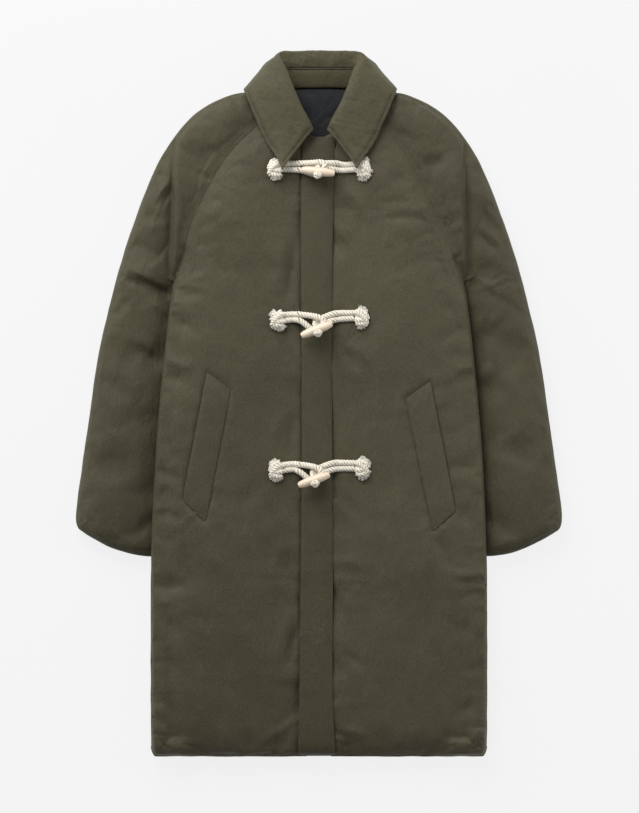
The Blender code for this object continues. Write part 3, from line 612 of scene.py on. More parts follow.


# Creases drawn, in mm: three points as x and y, the height, the half width on the left and the right.
creases = {
    "sleeve_front_left": [
        (-312, 218, -276, 202, -238, 184, 4.2, 16, 6), (-272, 192, -254, 184, -236, 173, -3.8, 5, 7),
        (-288, 90, -268, 76, -246, 58, -3.0, 5, 7), (-274, 166, -256, 156, -240, 140, 2.2, 6, 5),
        (-300, 104, -280, 94, -262, 84, 2.0, 10, 9), (-244, 408, -247, 392, -245, 378, -2.0, 5, 5),
        (-236, 358, -248, 346, -262, 324, 3.0, 5, 6), (-234, 344, -242, 332, -254, 308, -2.2, 4, 6),
        (-242, 330, -262, 300, -270, 268, 1.8, 6, 7), (-238, 262, -256, 236, -272, 224, -1.8, 5, 7),
        (-352, -40, -330, -52, -300, -58, 1.6, 10, 12), (-300, -10, -284, 6, -275, 30, -1.6, 9, 7),
        (-330, 120, -322, 80, -325, 40, 1.8, 16, 14), (-232, 290, -262, 284, -288, 290, 1.5, 8, 9),
        (-300, 270, -282, 300, -262, 330, 1.2, 14, 12), (-340, -86, -318, -92, -300, -96, -1.2, 7, 8),
    ],
    "sleeve_front_right": [
        (250, 384, 251, 376, 249, 366, -2.2, 5, 5), (258, 290, 274, 274, 292, 252, 3.4, 6, 9),
        (252, 276, 266, 262, 282, 244, -2.8, 5, 6), (256, 34, 266, 48, 276, 64, 2.6, 8, 9),
        (262, 20, 276, 36, 288, 46, -1.8, 7, 8), (240, 210, 262, 196, 286, 188, 2.0, 9, 12),
        (300, 170, 318, 130, 326, 90, 1.6, 15, 15), (330, -30, 316, -50, 300, -60, 1.5, 11, 10),
        (340, 20, 352, -20, 356, -60, -1.4, 9, 9), (238, 340, 262, 336, 280, 318, 1.6, 9, 10),
        (310, -84, 334, -92, 352, -90, -1.2, 7, 8), (280, 120, 296, 132, 306, 150, -1.6, 8, 9),
    ],
    "front_left": [
        (-36, 268, -44, 214, -50, 164, -4.6, 6, 9), (-58, 262, -58, 214, -64, 170, 2.6, 9, 14),
        (-38, -14, -46, -52, -44, -90, -3.4, 6, 10), (-60, -14, -70, -48, -64, -86, 1.8, 12, 12),
        (-42, -232, -52, -256, -46, -284, -2.0, 8, 10), (-34, -352, -44, -386, -48, -424, -4.4, 5, 9),
        (-54, -340, -58, -380, -66, -420, 2.2, 8, 14), (-62, -220, -74, -262, -66, -300, 1.7, 13, 12),
        (-244, 140, -214, 128, -190, 104, -2.2, 8, 9), (-250, 74, -222, 62, -200, 58, 2.4, 8, 10),
        (-254, 44, -226, 40, -208, 26, -2.0, 7, 8), (-262, -108, -240, -112, -218, -122, -2.2, 7, 8),
        (-264, -178, -240, -176, -222, -186, -2.0, 6, 7), (-266, -290, -240, -296, -214, -292, -2.4, 8, 8),
        (-266, -314, -236, -318, -208, -330, 2.0, 9, 9), (-204, 320, -160, 296, -120, 286, 1.9, 20, 16),
        (-196, 250, -150, 214, -112, 206, -1.7, 18, 18), (-110, 150, -90, 90, -104, 30, 1.7, 22, 20),
        (-190, -230, -150, -262, -130, -310, 1.8, 18, 18), (-216, -222, -214, -262, -196, -300, -1.8, 12, 12),
        (-120, -350, -96, -400, -104, -460, 1.7, 20, 18), (-200, -380, -176, -430, -182, -486, -1.5, 18, 16),
        (-90, -120, -120, -160, -112, -214, -1.5, 17, 18), (-146, 60, -170, 86, -176, 122, 1.4, 14, 14),
        (-154, -560, -150, -536, -156, -512, 2.0, 8, 8), (-118, -561, -114, -540, -120, -520, -1.8, 7, 7),
        (-78, -561, -80, -538, -74, -516, 1.8, 8, 8),
    ],
    "front_right": [
        (40, 344, 58, 330, 74, 300, 2.0, 10, 12), (34, 330, 44, 318, 52, 300, -1.8, 7, 8),
        (34, 86, 52, 74, 60, 50, -2.2, 7, 9), (44, 96, 66, 86, 80, 62, 1.9, 9, 11),
        (34, -152, 50, -160, 62, -180, -2.0, 7, 8), (36, -250, 54, -252, 70, -266, 1.9, 8, 9),
        (34, -402, 56, -408, 72, -424, -2.0, 7, 8), (36, -530, 54, -524, 76, -532, 2.0, 8, 9),
        (34, -548, 58, -546, 74, -552, -1.6, 6, 6), (182, -210, 200, -234, 206, -266, -2.4, 9, 9),
        (168, -214, 172, -250, 164, -288, 2.0, 13, 12), (206, 318, 160, 300, 120, 280, 1.9, 16, 20),
        (200, 246, 156, 230, 110, 196, -1.6, 16, 18), (110, 140, 94, 80, 112, 20, 1.7, 20, 22),
        (242, 126, 212, 112, 190, 92, -2.0, 8, 8), (250, 60, 224, 52, 206, 36, 2.0, 8, 10),
        (262, -96, 240, -104, 222, -100, -1.9, 7, 7), (266, -268, 238, -276, 210, -270, 2.0, 8, 9),
        (268, -300, 240, -306, 220, -318, -2.0, 7, 8), (268, -420, 242, -426, 222, -420, -1.6, 8, 8),
        (110, -330, 90, -390, 106, -450, 1.8, 20, 18), (190, -340, 170, -400, 180, -470, 1.6, 18, 18),
        (92, -60, 116, -110, 108, -170, -1.5, 18, 17), (150, -561, 152, -536, 146, -514, 1.8, 8, 8),
        (206, -560, 204, -540, 210, -520, -1.6, 8, 8),
    ],
    "back_panel": [
        (-180, 300, -120, 270, -40, 280, 2.2, 20, 18), (180, 290, 120, 262, 50, 268, 2.2, 18, 20),
        (-200, 60, -120, 30, -40, 40, -2.0, 20, 16), (210, 40, 140, 10, 60, 20, -2.0, 16, 20),
        (-60, -120, -90, -220, -60, -330, 2.0, 22, 20), (90, -150, 60, -240, 92, -340, 2.0, 20, 22),
        (-180, -380, -160, -450, -176, -520, -1.8, 16, 16), (170, -390, 150, -460, 168, -530, 1.8, 16, 16),
    ],
}

# Sharp folds down the sleeves, in mm: the points, the height on the body side, the depth on the outer side.
sleeveFolds = {
    "sleeve_front_left": ([(-231, 418), (-230, 366), (-230, 300), (-231, 250), (-233, 192)], 2.4, -3.4),
    "sleeve_front_right": ([(234, 420), (227, 366), (230, 305), (233, 250), (236, 192)], 2.2, -3.2),
}
raglanSeam = {  # from the armpit to the neck, in mm
    -1: [(-232, 193), (-225, 207), (-217, 231), (-212, 257), (-204, 289), (-190, 318), (-175, 348),
         (-159, 377), (-139, 404), (-118, 426), (-96, 446), (-82, 465), (-75, 482)],
    1: [(231, 193), (225, 207), (217, 231), (206, 257), (192, 289), (180, 318), (165, 348),
        (150, 377), (135, 404), (117, 426), (99, 446), (85, 465), (77, 482)],
}
sewnLines = {  # lines on a front that something is sewn to, in mm: the cloth puckers along them too
    "front_left": [
        [(-33, -564), (-31, -465), (-29, -255), (-27, -87), (-28, 38), (-29, 296), (-28, 369)],
        [(-179, 51), (-141, 22), (-181, -190), (-218, -154), (-179, 51)],
    ],
    "front_right": [
        [(26, -564), (21, -465), (22, -255), (21, -87), (20, 38), (22, 296), (24, 369)],
        [(178, 36), (138, 8), (182, -205), (218, -171), (178, 36)],
    ],
}

padLook = {
    "subdivisions": 3,
    "simulateAt": 2,
    "frames": 20,
    "growth": {"front_right": -0.018},  # how much smaller than its outline the cloth is cut: below 0, larger
    "usualGrowth": -0.020,
    "cap": 0.0040,  # the farthest that the filling moves the cloth
    "clearance": 0.0004,
    "puckers": [(1.0, 62, 0.4), (0.7, 120, 6.4)],
    "puckerHeight": 0.0028,
    "puckerReach": 0.024,
    "waves": [(1.0, 7, 3.1), (0.55, 17, 8.4), (0.22, 45, 1.7)],
    "waveHeight": 0.0017,
    "usualLevel": 0.038,
    "seamReach": 0.020,  # how far from the raglan seam the padding flattens to meet the other panel
    "seamDip": 0.0022,
    "seamCover": 0.0016,  # each panel's edge comes a little over the seam line, so that no gap is left
    "seamCoverReach": 0.010,
    "edgeGrowth": 0.0016,
    "backEdgeGrowth": 0.0014,
    "sewnDip": 0.0020,
    "sewnWidth": 0.0045,
    "creaseGain": 1.65,
    "sharpness": 1.35,  # 2 is a round crease, 1 a knife edge
    "rimLevel": 0.0505,  # each front stays full to its side edge, where it lies over the sleeve
    "rimRoom": 0.012,
    "rimShare": 0.80,
    "rimReach": 0.034,
    "rimGathers": [(0.20, (30, 55), 7.7), (0.18, (80, 150), 2.2)],
    "foldInner": (0.004, 0.014),  # the sleeve fold's distance from its drawn line, and its width
    "foldOuter": (0.002, 0.009),
}
clothLook = {
    "quality": 4,
    "mass": 0.12,
    "tension_stiffness": 12,
    "compression_stiffness": 12,
    "shear_stiffness": 6,
    "bending_stiffness": 0.6,
    "air_damping": 4.0,
    "use_pressure": True,
    "uniform_pressure_force": 3.2,
    "vertex_group_mass": "pin",
}
fineCreases = {  # how many short creases a piece has, and their tilt in degrees
    "sleeve_front_left": (120, 118), "sleeve_front_right": (110, 62), "front_left": (40, 112),
    "front_right": (40, 66), "back_panel": (50, 80), "sleeve_back_left": (34, 112),
    "sleeve_back_right": (34, 66),
}
fineCrease = {
    "spread": 38,  # degrees to both sides of the tilt
    "half": (0.008, 0.022),
    "bend": 0.005,
    "narrow": (0.0024, 0.0036),
    "wide": (0.0045, 0.0080),
    "height": (0.0005, 0.0017),
    "smoothBelow": 0.06,  # the sleeves' cloth is smoother below the elbow
    "smoothShare": 0.45,
    "reach": 0.06,
}
rows = ("top", "middle", "low")
overWelts = [
    "collar_fall", "collar_stand",
    *(f"{kind}_{row}" for kind in ("loop", "cord", "toggle", "toggle_knot") for row in rows),
    *(f"knot_{row}_{side}" for side in ("left", "right") for row in rows),
]


def simulated(piece, outline, growth):
    # the filling pushes the cloth up between its sewn edges, and cloth longer than its seam puckers
    points = coordinates(piece)
    turned = coordinates(piece, "normal")[:, 2]
    distance, _ = distanceTo(points, outline)
    hold = np.where(turned > 0.25, 1.0 - smoothStep(0.002, 0.010, distance), 1.0)
    group = piece.vertex_groups.new(name="pin")
    for index, weight in enumerate(hold):
        group.add([index], float(weight), "REPLACE")
    only(piece)
    modifier = piece.modifiers.new("cloth", "CLOTH")
    for key, value in clothLook.items():
        setattr(modifier.settings, key, value)
    modifier.settings.shrink_min = growth
    modifier.settings.effector_weights.gravity = 0.0
    modifier.collision_settings.use_collision = False
    for step in range(padLook["frames"]):
        scene.frame_set(step + 1)
    bpy.ops.object.modifier_apply(modifier="cloth")
    scene.frame_set(1)
    piece.vertex_groups.clear()
    moved = coordinates(piece) - points
    size = np.linalg.norm(moved, axis=1)
    kept = padLook["cap"] * np.tanh(size / padLook["cap"]) / np.maximum(size, 1e-9)
    setCoordinates(piece, points + moved * np.where(size > 1e-9, kept, 0.0)[:, None])


def drawnCreases(node):
    for *spots, height, left, right in creases.get(node, []):
        line = [(x / 1000, y / 1000) for x, y in zip(spots[::2], spots[1::2])]
        yield line, height / 1000, left / 1000, right / 1000


def fineRise(points, node):
    # short sharp creases in the light cloth, all over and all different
    own = random.Random(len(node) * 31 + len(points) % 7)
    count, tilt = fineCreases[node]
    low, high = points.min(axis=0), points.max(axis=0)
    rise = np.zeros(len(points))
    for _ in range(count):
        x, y = own.uniform(low[0], high[0]), own.uniform(low[1], high[1])
        angle = math.radians(tilt + own.uniform(-fineCrease["spread"], fineCrease["spread"]))
        half = own.uniform(*fineCrease["half"])
        bend = own.uniform(-fineCrease["bend"], fineCrease["bend"])
        ahead = (math.cos(angle) * half, math.sin(angle) * half)
        middle = (x - ahead[1] * bend / half, y + ahead[0] * bend / half)
        line = [(x - ahead[0], y - ahead[1]), middle, (x + ahead[0], y + ahead[1])]
        near = np.abs(points[:, 0] - x) + np.abs(points[:, 1] - y) < fineCrease["reach"]
        if not near.any():
            continue
        narrow, wide = own.uniform(*fineCrease["narrow"]), own.uniform(*fineCrease["wide"])
        height = own.choice((1, 1, -1)) * own.uniform(*fineCrease["height"])
        if "sleeve" in node and y < fineCrease["smoothBelow"]:
            height *= fineCrease["smoothShare"]
        rise[near] += creaseAlong(points[near], line, height, narrow, wide, padLook["sharpness"], 0, 0.8)
    return rise


def pushedOut(points, facing, amount):  # subdividing draws the edges in a little, and this puts them back
    share = np.clip(1.0 - np.abs(facing[:, 2]), 0.0, 1.0) ** 0.7
    share *= 1.0 + 0.35 * ripple(points, 40, 5.0)
    share = np.where(np.abs(points[:, 0]) < 0.02, 0.0, share)  # not where the fronts meet
    hem = np.where(points[:, 1] < -0.55, 1.5, 1.0)
    moved = points.copy()
    moved[:, :2] += facing[:, :2] * (share * hem * amount)[:, None]
    return moved


def raglanRise(points):
    # fills the gully at the raglan seam: both panels come up to nearly the same height and dip a little at it
    side = 1 if points[:, 0].mean() > 0 else -1
    word = "right" if side > 0 else "left"
    trees = {"body": treeOf(f"front_{word}"), "sleeve": treeOf(f"sleeve_front_{word}")}
    dense = curveThrough(inMetres(raglanSeam[side]), 0.008)
    reach = padLook["seamReach"]
    away, along, which = lineDistance(points, dense)
    steps = np.linspace(0, 1, len(dense))
    level = {}
    for kind, turn in (("body", -1), ("sleeve", 1)):
        hits = [dropOnto(trees[kind], spot + acrossLine(dense, index) * side * reach * turn)[0]
                for index, spot in enumerate(dense)]
        level[kind] = np.interp(along, steps, [hit.z if hit else padLook["usualLevel"] for hit in hits])
    onSleeve = which * side < 0
    own = np.where(onSleeve, level["sleeve"], level["body"])
    dip = np.minimum(level["body"], level["sleeve"]) - padLook["seamDip"]
    wanted = dip + (own - dip) * np.sin(np.clip(away / reach, 0, 1) * math.pi / 2) ** 0.8
    near = (away < reach) & (along > 0.004)
    cover = np.clip(1.0 - away / padLook["seamCoverReach"], 0.0, 1.0) * padLook["seamCover"]
    legs = np.diff([spot[:2] for spot in dense], axis=0)
    across = np.column_stack((legs[:, 1], -legs[:, 0])) / np.linalg.norm(legs, axis=1)[:, None]
    across = across[np.minimum((along * len(legs)).astype(int), len(legs) - 1)]
    shift = across * (np.where(onSleeve, -1, 1) * side * cover)[:, None]
    return np.where(near, np.maximum(wanted - points[:, 2], 0.0), 0.0), away, shift


def puckerRise(node, points, turned, outline):
    sewn = [inMetres(line) for line in sewnLines.get(node, [])]
    cut = []
    for line in sewn:
        for first, last in zip(line, line[1:]):
            count = max(2, int((last - first).length / 0.002))
            cut += [tuple(first.lerp(last, part / count)) for part in range(count)]
    distance, nearest = distanceTo(points, np.concatenate([outline, np.array(cut)]) if cut else outline)
    edge, _ = distanceTo(points, outline)
    rise = ripples(points, padLook["waves"]) * padLook["waveHeight"] + fineRise(points, node)
    for line, height, left, right in drawnCreases(node):
        rise += creaseAlong(points, line, height * padLook["creaseGain"], left, right, padLook["sharpness"])
    for line in sewn:
        rise -= padLook["sewnDip"] * hump(lineDistance(points, line)[0], padLook["sewnWidth"])
    pucker = ripples(nearest, padLook["puckers"])
    uneven = 0.55 + 0.9 * ripple(nearest, 9, 11.0)
    reach = padLook["puckerReach"] * np.clip(uneven + 0.35, 0.35, 1.4)
    rise += pucker * padLook["puckerHeight"] * np.clip(uneven, 0.1, 1.3) * np.exp(-(distance / reach))
    if node in sleeveFolds:
        line, inner, outer = sleeveFolds[node]
        away, along, side = lineDistance(points, curveThrough(inMetres(line), 0.006))
        inside = inner * hump(away - padLook["foldInner"][0], padLook["foldInner"][1])
        outside = outer * hump(away - padLook["foldOuter"][0], padLook["foldOuter"][1])
        ends = np.sin(np.pi * np.clip(along, 0.0, 1.0)) ** 0.4
        rise += np.where(side * line[0][0] > 0, outside, inside) / 1000 * ends
    rise *= smoothStep(0.0008, 0.006, edge) * smoothStep(0.15, 0.6, turned)
    if node in sewnLines:  # a front's side edge
        below = 1.0 - smoothStep(0.150, 0.200, points[:, 1])
        alongside = smoothStep(0.190, 0.220, np.abs(points[:, 0])) * below
        gather = 0.86 + ripples(nearest, padLook["rimGathers"])
        full = smoothStep(0.0004, 0.0042, edge) * (1.0 - smoothStep(0.6, 1.0, edge / padLook["rimReach"]))
        room = np.clip(padLook["rimLevel"] - points[:, 2], 0.0, padLook["rimRoom"])
        rise += alongside * full * gather * room * padLook["rimShare"] * smoothStep(0.02, 0.30, turned)
    return rise


def buildPad(node, name, above):
    piece = copyNode(node, name)
    subdivided(piece, padLook["simulateAt"])
    outline = outlineOf(piece)
    simulated(piece, outline, padLook["growth"].get(node, padLook["usualGrowth"]))
    subdivided(piece, padLook["subdivisions"] - padLook["simulateAt"])
    points, facing = coordinates(piece), coordinates(piece, "normal")
    turned = facing[:, 2]
    rise = puckerRise(node, points, turned, outline)
    points = pushedOut(points, facing, padLook["edgeGrowth"])
    level, seamAway, shift = raglanRise(points)
    points[:, :2] += shift
    seamed = np.maximum(level + rise * smoothStep(0.0, 0.012, seamAway), rise * (level <= 0))
    rise = np.where(turned > 0.02, seamed, rise)
    for index in np.nonzero(turned > 0.1)[0]:  # it stays under what lies on it
        hit = above.ray_cast(Vector(points[index]) - Vector((0, 0, 0.004)), upward)[0]
        if hit:
            rise[index] = min(rise[index], hit.z - points[index][2] - padLook["clearance"])
    points[:, 2] = np.maximum(points[:, 2] + rise, 0.0)
    setCoordinates(piece, points)
    finishPiece(piece, sleeveShadedShell if "sleeve" in node else shell, "shell", node)
    print("padded", name, len(piece.data.polygons))
    return piece


covering = treeOf("placket", "welt_left", "welt_right", *overWelts)
frontLeft = buildPad("front_left", "frontLeft", covering)
frontRight = buildPad("front_right", "frontRight", covering)
underFronts = treeOf("front_left", "front_right", "collar_fall", "collar_stand")
sleeveLeft = buildPad("sleeve_front_left", "sleeveLeft", underFronts)
sleeveRight = buildPad("sleeve_front_right", "sleeveRight", underFronts)

backLook = {
    "fineShare": 1.2,
    "puckerHeight": 0.0045,
    "puckerReach": 0.022,
    "waves": [(1.0, 9, 5.5), (0.5, 24, 1.5)],
    "waveHeight": 0.0030,
}


def crumpledBack(piece, node, points, turned):
    # the underside is pushed up from the surface in soft folds, and never goes below it
    distance, nearest = distanceTo(points, outlineOf(piece))
    rise = fineRise(points, node) * backLook["fineShare"]
    for line, height, left, right in drawnCreases(node):
        rise += creaseAlong(points, line, abs(height), left, right, 2)
    pucker = np.abs(ripple(nearest, 62, 2.4)) * np.exp(-(distance / backLook["puckerReach"]))
    broad = np.maximum(ripples(points, backLook["waves"]), 0.0)
    rise += pucker * backLook["puckerHeight"] + broad * backLook["waveHeight"]
    points[:, 2] += np.maximum(rise, 0.0) * smoothStep(0.2, 0.7, -turned[:, 2])
    points = pushedOut(points, turned, padLook["backEdgeGrowth"])
    points[:, 2] = np.maximum(points[:, 2], 0.0)
    return points


plainPieces = {  # the pieces that aren't simulated, with how far their cloth waves in and out
    "back_panel": {"name": "back", "levels": 3, "height": 0.0006, "scale": 0.5},
    "sleeve_back_left": {"name": "sleeveBackLeft", "levels": 2, "height": 0.0007, "scale": 0.6},
    "sleeve_back_right": {"name": "sleeveBackRight", "levels": 2, "height": 0.0007, "scale": 0.6},
    "placket": {"name": "placketStrip", "levels": 3, "height": 0.0004, "fill": 0.2, "crease": 0.42},
    "welt_left": {"name": "weltLeft", "levels": 3, "height": 0.0003, "fill": 0.2, "crease": 0.46},
    "welt_right": {"name": "weltRight", "levels": 3, "height": 0.0003, "fill": 0.2, "crease": 0.46},
    "collar_fall": {"name": "collarFall", "levels": 3, "height": 0.0003, "fill": 0.25, "crease": 0.46},
    "collar_stand": {"name": "collarStand", "levels": 2, "height": 0.0002, "fill": 0.2},
}
overPlacket = treeOf(*overWelts)


def buildPlain(node, name, levels, height, fill=0.45, scale=1.0, crease=0.0):
    piece = copyNode(node, name, crease)
    subdivided(piece, levels)
    points, turned = coordinates(piece), coordinates(piece, "normal")
    above = overPlacket if node == "placket" else None
    for index, point in enumerate(points):
        lift = noise.noise(Vector(point) * 22 * scale) + 0.6 * noise.noise(Vector(point) * 60 * scale)
        lift *= height if point[2] >= 0.0015 else 0.0
        hit = above.ray_cast(Vector(point) - Vector((0, 0, 0.002)), upward)[0] if above else None
        if hit:
            lift = min(lift, hit.z - point[2] - padLook["clearance"])
        points[index] = Vector(point) + Vector(turned[index]) * lift
    if "back" in node:
        points = crumpledBack(piece, node, points, turned)
    setCoordinates(piece, points)
    if "collar" in node:
        finishPiece(piece, collarShell, "collar_shell", node)
    else:
        thin = "sleeve" in node or node == "placket"
        finishPiece(piece, sleeveShadedShell if thin else shell, "shell", node)
    print("shaped", name, len(piece.data.polygons))
    return piece


plain = {node: buildPlain(node, **look) for node, look in plainPieces.items()}
placket, weltLeft, weltRight = plain["placket"], plain["welt_left"], plain["welt_right"]
collarFall, collarStand = plain["collar_fall"], plain["collar_stand"]

# The collar is turned out and topstitched: a shallow groove 5 mm in, and a flatter edge outside it.
collarLook = {
    "front": [(12, 437), (24, 421), (59, 377)],  # one half of its outline, in mm from its own middle
    "outer": [(59, 377), (73, 398), (87, 419), (99, 446), (110, 472), (118, 490), (121, 501)],
    "middle": 2.0,
    "inset": 5.2,
    "upperFrom": 0.033,  # what lies higher is the leaf's upper side
    "grooveDepth": 0.0013,
    "grooveWidth": 0.0011,
    "shadeWidth": 0.0007,
    "puff": 0.0008,
    "puffFrom": 0.011,
    "puffWidth": 0.005,
    "flatEdge": 0.0005,
    "flatWidth": 0.0045,
    "waves": 0.0007,
    "waveReach": 0.009,
    "crinkles": (0.0009, 0.0004, 0.0004),
    "tip": (0.0600, 0.3740),
    "tipMiddle": 0.0005,
    "tipReach": 0.022,
    "tipLift": 0.0055,
    "tipLiftReach": 0.030,
    "backRise": 0.0026,
    "cornerGrowth": 0.0048,
    "sewnReach": 0.0065,
    "sewnMove": 0.0024,
}
collarSeam = [  # where the stand meets the turned-over leaf, on one half, in mm
    (21, 438.5, 46.5), (33, 458, 48.5), (44, 479, 50), (53, 500, 50), (60, 519, 47.5), (62, 531, 44),
    (56, 534.5, 41), (46, 535.5, 39.5), (33, 536, 39), (17, 536, 38.5), (0, 536, 38.5),
]


def collarLine(side, inset=0.0):
    # the leaf's front and outer edge, moved in by the inset, as one line from the neck to the shoulder
    front, outer = ([Vector((x, y, 0)) for x, y in collarLook[run]] for run in ("front", "outer"))
    firstWay = (front[-1] - front[0]).normalized()
    frontIn = [spot + Vector((-firstWay.y, firstWay.x, 0)) * inset for spot in front]
    outerIn = aside(outer, -inset)
    # the two runs meet where they cross, above the tip
    way, turn, gap = outerIn[1] - outerIn[0], frontIn[-1] - frontIn[0], frontIn[0] - outerIn[0]
    share = (gap.x * turn.y - gap.y * turn.x) / (way.x * turn.y - way.y * turn.x)
    corner = outerIn[0] + way * share
    line = [spot for spot in frontIn if (spot - corner).dot(firstWay) < -1.0] + [corner] + outerIn[1:]
    return inMetres([(collarLook["middle"] + side * spot.x, spot.y) for spot in line])


def sewCollar(seam):  # stand and leaf are sewn edge to edge
    tree = KDTree(len(seam))
    for index, spot in enumerate(seam):
        tree.insert(spot, index)
    tree.balance()
    reach = collarLook["sewnReach"]
    for piece, pull in ((collarStand, 0.85), (collarFall, 0.50)):
        points = coordinates(piece)
        for index, point in enumerate(points):
            spot, _, away = tree.find(point)
            if away < reach:
                share = (1.0 - away / reach) ** 0.8 * pull
                limit = min(1.0, collarLook["sewnMove"] / max(away, 0.0005))
                points[index] = Vector(point).lerp(spot, share * limit)
        setCoordinates(piece, points)


def shapeFall():
    points, turned = coordinates(collarFall), coordinates(collarFall, "normal")
    for index, (x, y, z) in enumerate(points):  # soft crinkles across the leaf
        place = Vector((x * 60 + y * 24, y * 42 - x * 30, z * 20))
        fine = Vector((x * 30, y * 210 + x * 40, z * 30))
        heights = (noise.noise(place), noise.noise(place * 2.6), noise.noise(fine))
        lift = sum(size * height for size, height in zip(collarLook["crinkles"], heights))
        points[index] += turned[index] * lift * (1.0 if turned[index][2] > 0.0 or z > 0.04 else 0.0)
    # painted shade along the topstitch groove on the leaf's upper side, kept in the seam attribute for the
    # collar's finish
    shade = np.zeros(len(points))
    for side in (-1, 1):
        away, _, _ = lineDistance(points, collarLine(side, collarLook["inset"]))
        edgeAway, _, _ = lineDistance(points, collarLine(side))
        raised = points[:, 2] > collarLook["upperFrom"]
        shade = np.maximum(shade, hump(away, collarLook["shadeWidth"]) * raised)
        waves = ripple(points, 120, 4.0) * collarLook["waves"] * np.exp(-(away / collarLook["waveReach"]))
        rise = hump(edgeAway - collarLook["puffFrom"], collarLook["puffWidth"]) * collarLook["puff"] + waves
        rise -= hump(away, collarLook["grooveWidth"]) * collarLook["grooveDepth"]
        rise -= hump(edgeAway, collarLook["flatWidth"]) * collarLook["flatEdge"]
        points[:, 2] += np.where((turned[:, 2] > 0.15) & raised, rise, 0.0)
    setAttribute(collarFall, "seam", shade.astype(np.float32))
    for side in (-1, 1):  # the points of the collar, which subdividing has rounded
        tip = np.array([collarLook["tipMiddle"] + side * collarLook["tip"][0], collarLook["tip"][1]])
        away = np.hypot(*(points[:, :2] - tip).T)
        nearest = points[np.argmin(away), :2].copy()
        away = np.hypot(*(points[:, :2] - nearest).T)
        share = np.clip(1.0 - away / collarLook["tipReach"], 0.0, 1.0) ** 1.5
        points[:, :2] += (tip - nearest) * share[:, None]
        lifted = np.clip(1.0 - away / collarLook["tipLiftReach"], 0.0, 1.0) ** 1.5
        points[:, 2] += collarLook["tipLift"] * lifted
    # the fold at the back of the neck lies a little higher and squarer
    fromMiddle = points[:, 0] - collarLook["middle"] / 1000
    corner = smoothStep(0.030, 0.060, np.abs(fromMiddle)) * smoothStep(0.528, 0.556, points[:, 1])
    points[:, 1] += smoothStep(0.512, 0.548, points[:, 1]) * collarLook["backRise"]
    points[:, 0] += np.sign(fromMiddle) * corner * collarLook["cornerGrowth"]
    setCoordinates(collarFall, points)


def lowerNeckline(drop=0.0018):  # at the top of the closure
    for piece in (placket, frontLeft, frontRight):
        points = coordinates(piece)
        inward = 1.0 - smoothStep(0.022, 0.044, np.abs(points[:, 0]))
        points[:, 1] -= smoothStep(0.405, 0.430, points[:, 1]) * inward * drop
        setCoordinates(piece, points)


def buildLining(reach=0.011):  # it goes on down inside the coat, under the fronts
    backLining = copyNode("back_lining", "backLining")
    subdivided(backLining, 2)
    points = coordinates(backLining)
    points[:, 1] -= reach * (1.0 - smoothStep(0.432, 0.475, points[:, 1]))
    setCoordinates(backLining, points)
    finishPiece(backLining, lining, "lining", "back_lining")


def buildSeamRoll(seam):  # the collar's sewn edge itself, a soft narrow ridge
    tubes = Tubes()
    tubes.add(seam[::2], lambda t: 0.0010 + 0.0002 * noise.noise((t * 90, 0.5, 2.0)), 8)
    finishPiece(tubes.build("collarSeamRoll"), collarShell, "collar_shell")


halves = [[(collarLook["middle"] + side * x, y, z) for x, y, z in collarSeam] for side in (-1, 1)]
seamSpots = [[value / 1000 for value in spot] for spot in halves[0] + halves[1][-2::-1]]
seamSpots = curveThrough(seamSpots, 0.0015)
sewCollar(seamSpots)
shapeFall()
lowerNeckline()
buildLining()
buildSeamRoll(seamSpots)
print("collar and lining ready")

stitchLook = {"length": 0.0027, "pitch": 0.0032, "weltPitch": 0.0029, "thickness": 0.00062, "sink": 0.00008}
weltStitches = {  # four rows on each welt, in mm
    "Left": [
        [(-178, 49), (-142.5, 21)], [(-181, -188), (-216, -155)],
        [(-142.5, 18), (-181.5, -186)], [(-180, 47), (-217.5, -152)],
    ],
    "Right": [
        [(177, 34), (139.5, 7)], [(182, -203), (216, -171)],
        [(139.5, 6), (182.5, -201)], [(179, 32), (217.5, -169)],
    ],
}
tapeLook = {
    "section": [  # offset from the seam towards the sleeve, and height
        (0.0000, -0.0006), (0.0006, 0.0002), (0.0018, 0.0004),
        (0.0042, 0.0004), (0.0058, 0.0002), (0.0064, -0.0006),
    ],
    "step": 0.004,
    "roughness": 0.00025,
    "jump": 0.003,  # a height further than this from the others is a gap or an edge
    "thickness": 0.0008,
    "stitches": (0.0013, 0.0050),
}


def stitchTemplate():
    bpy.ops.mesh.primitive_cylinder_add(vertices=6, radius=0.5, depth=1.0, rotation=(0, math.pi / 2, 0))
    stitch = bpy.context.object
    bpy.ops.object.transform_apply(rotation=True)
    with editing(stitch):
        bpy.ops.mesh.subdivide(number_cuts=1)
    points = coordinates(stitch)
    points[:, 1:] *= (1.0 - 0.55 * np.abs(points[:, :1] * 2) ** 3)
    points[:, 2] -= 0.45 * np.abs(points[:, 0] * 2) ** 2
    faces = [list(face.vertices) for face in stitch.data.polygons]
    bpy.data.objects.remove(stitch)
    return points, faces


stitchPoints, stitchFaces = stitchTemplate()


def sewAlong(name, lines, carriers, pitch=stitchLook["pitch"]):
    # one row of stitches for each line, each lying on whatever is uppermost under it
    tree = treeOf(*carriers)
    points, faces = [], []
    for line in lines:
        route = curveThrough(line, pitch)
        for first, last in zip(route, route[1:]):
            hit, slope = dropOnto(tree, (first + last) / 2)
            if not hit:
                continue
            ahead = (last - first).normalized()
            turn = math.atan2(ahead.y, ahead.x) + dice.uniform(-0.05, 0.05)
            ahead = Vector((math.cos(turn), math.sin(turn), 0))
            ahead = (ahead - slope * ahead.dot(slope)).normalized()
            across = slope.cross(ahead)
            size = stitchLook["length"] * dice.uniform(0.92, 1.04)
            base = hit - slope * stitchLook["sink"]
            start = len(points)
            for x, y, z in stitchPoints:
                points.append(base + ahead * x * size + (across * y + slope * z) * stitchLook["thickness"])
            faces += [[start + i for i in face] for face in stitchFaces]
    finishPiece(meshPiece(name, points, faces), threadAndShade, "shell")


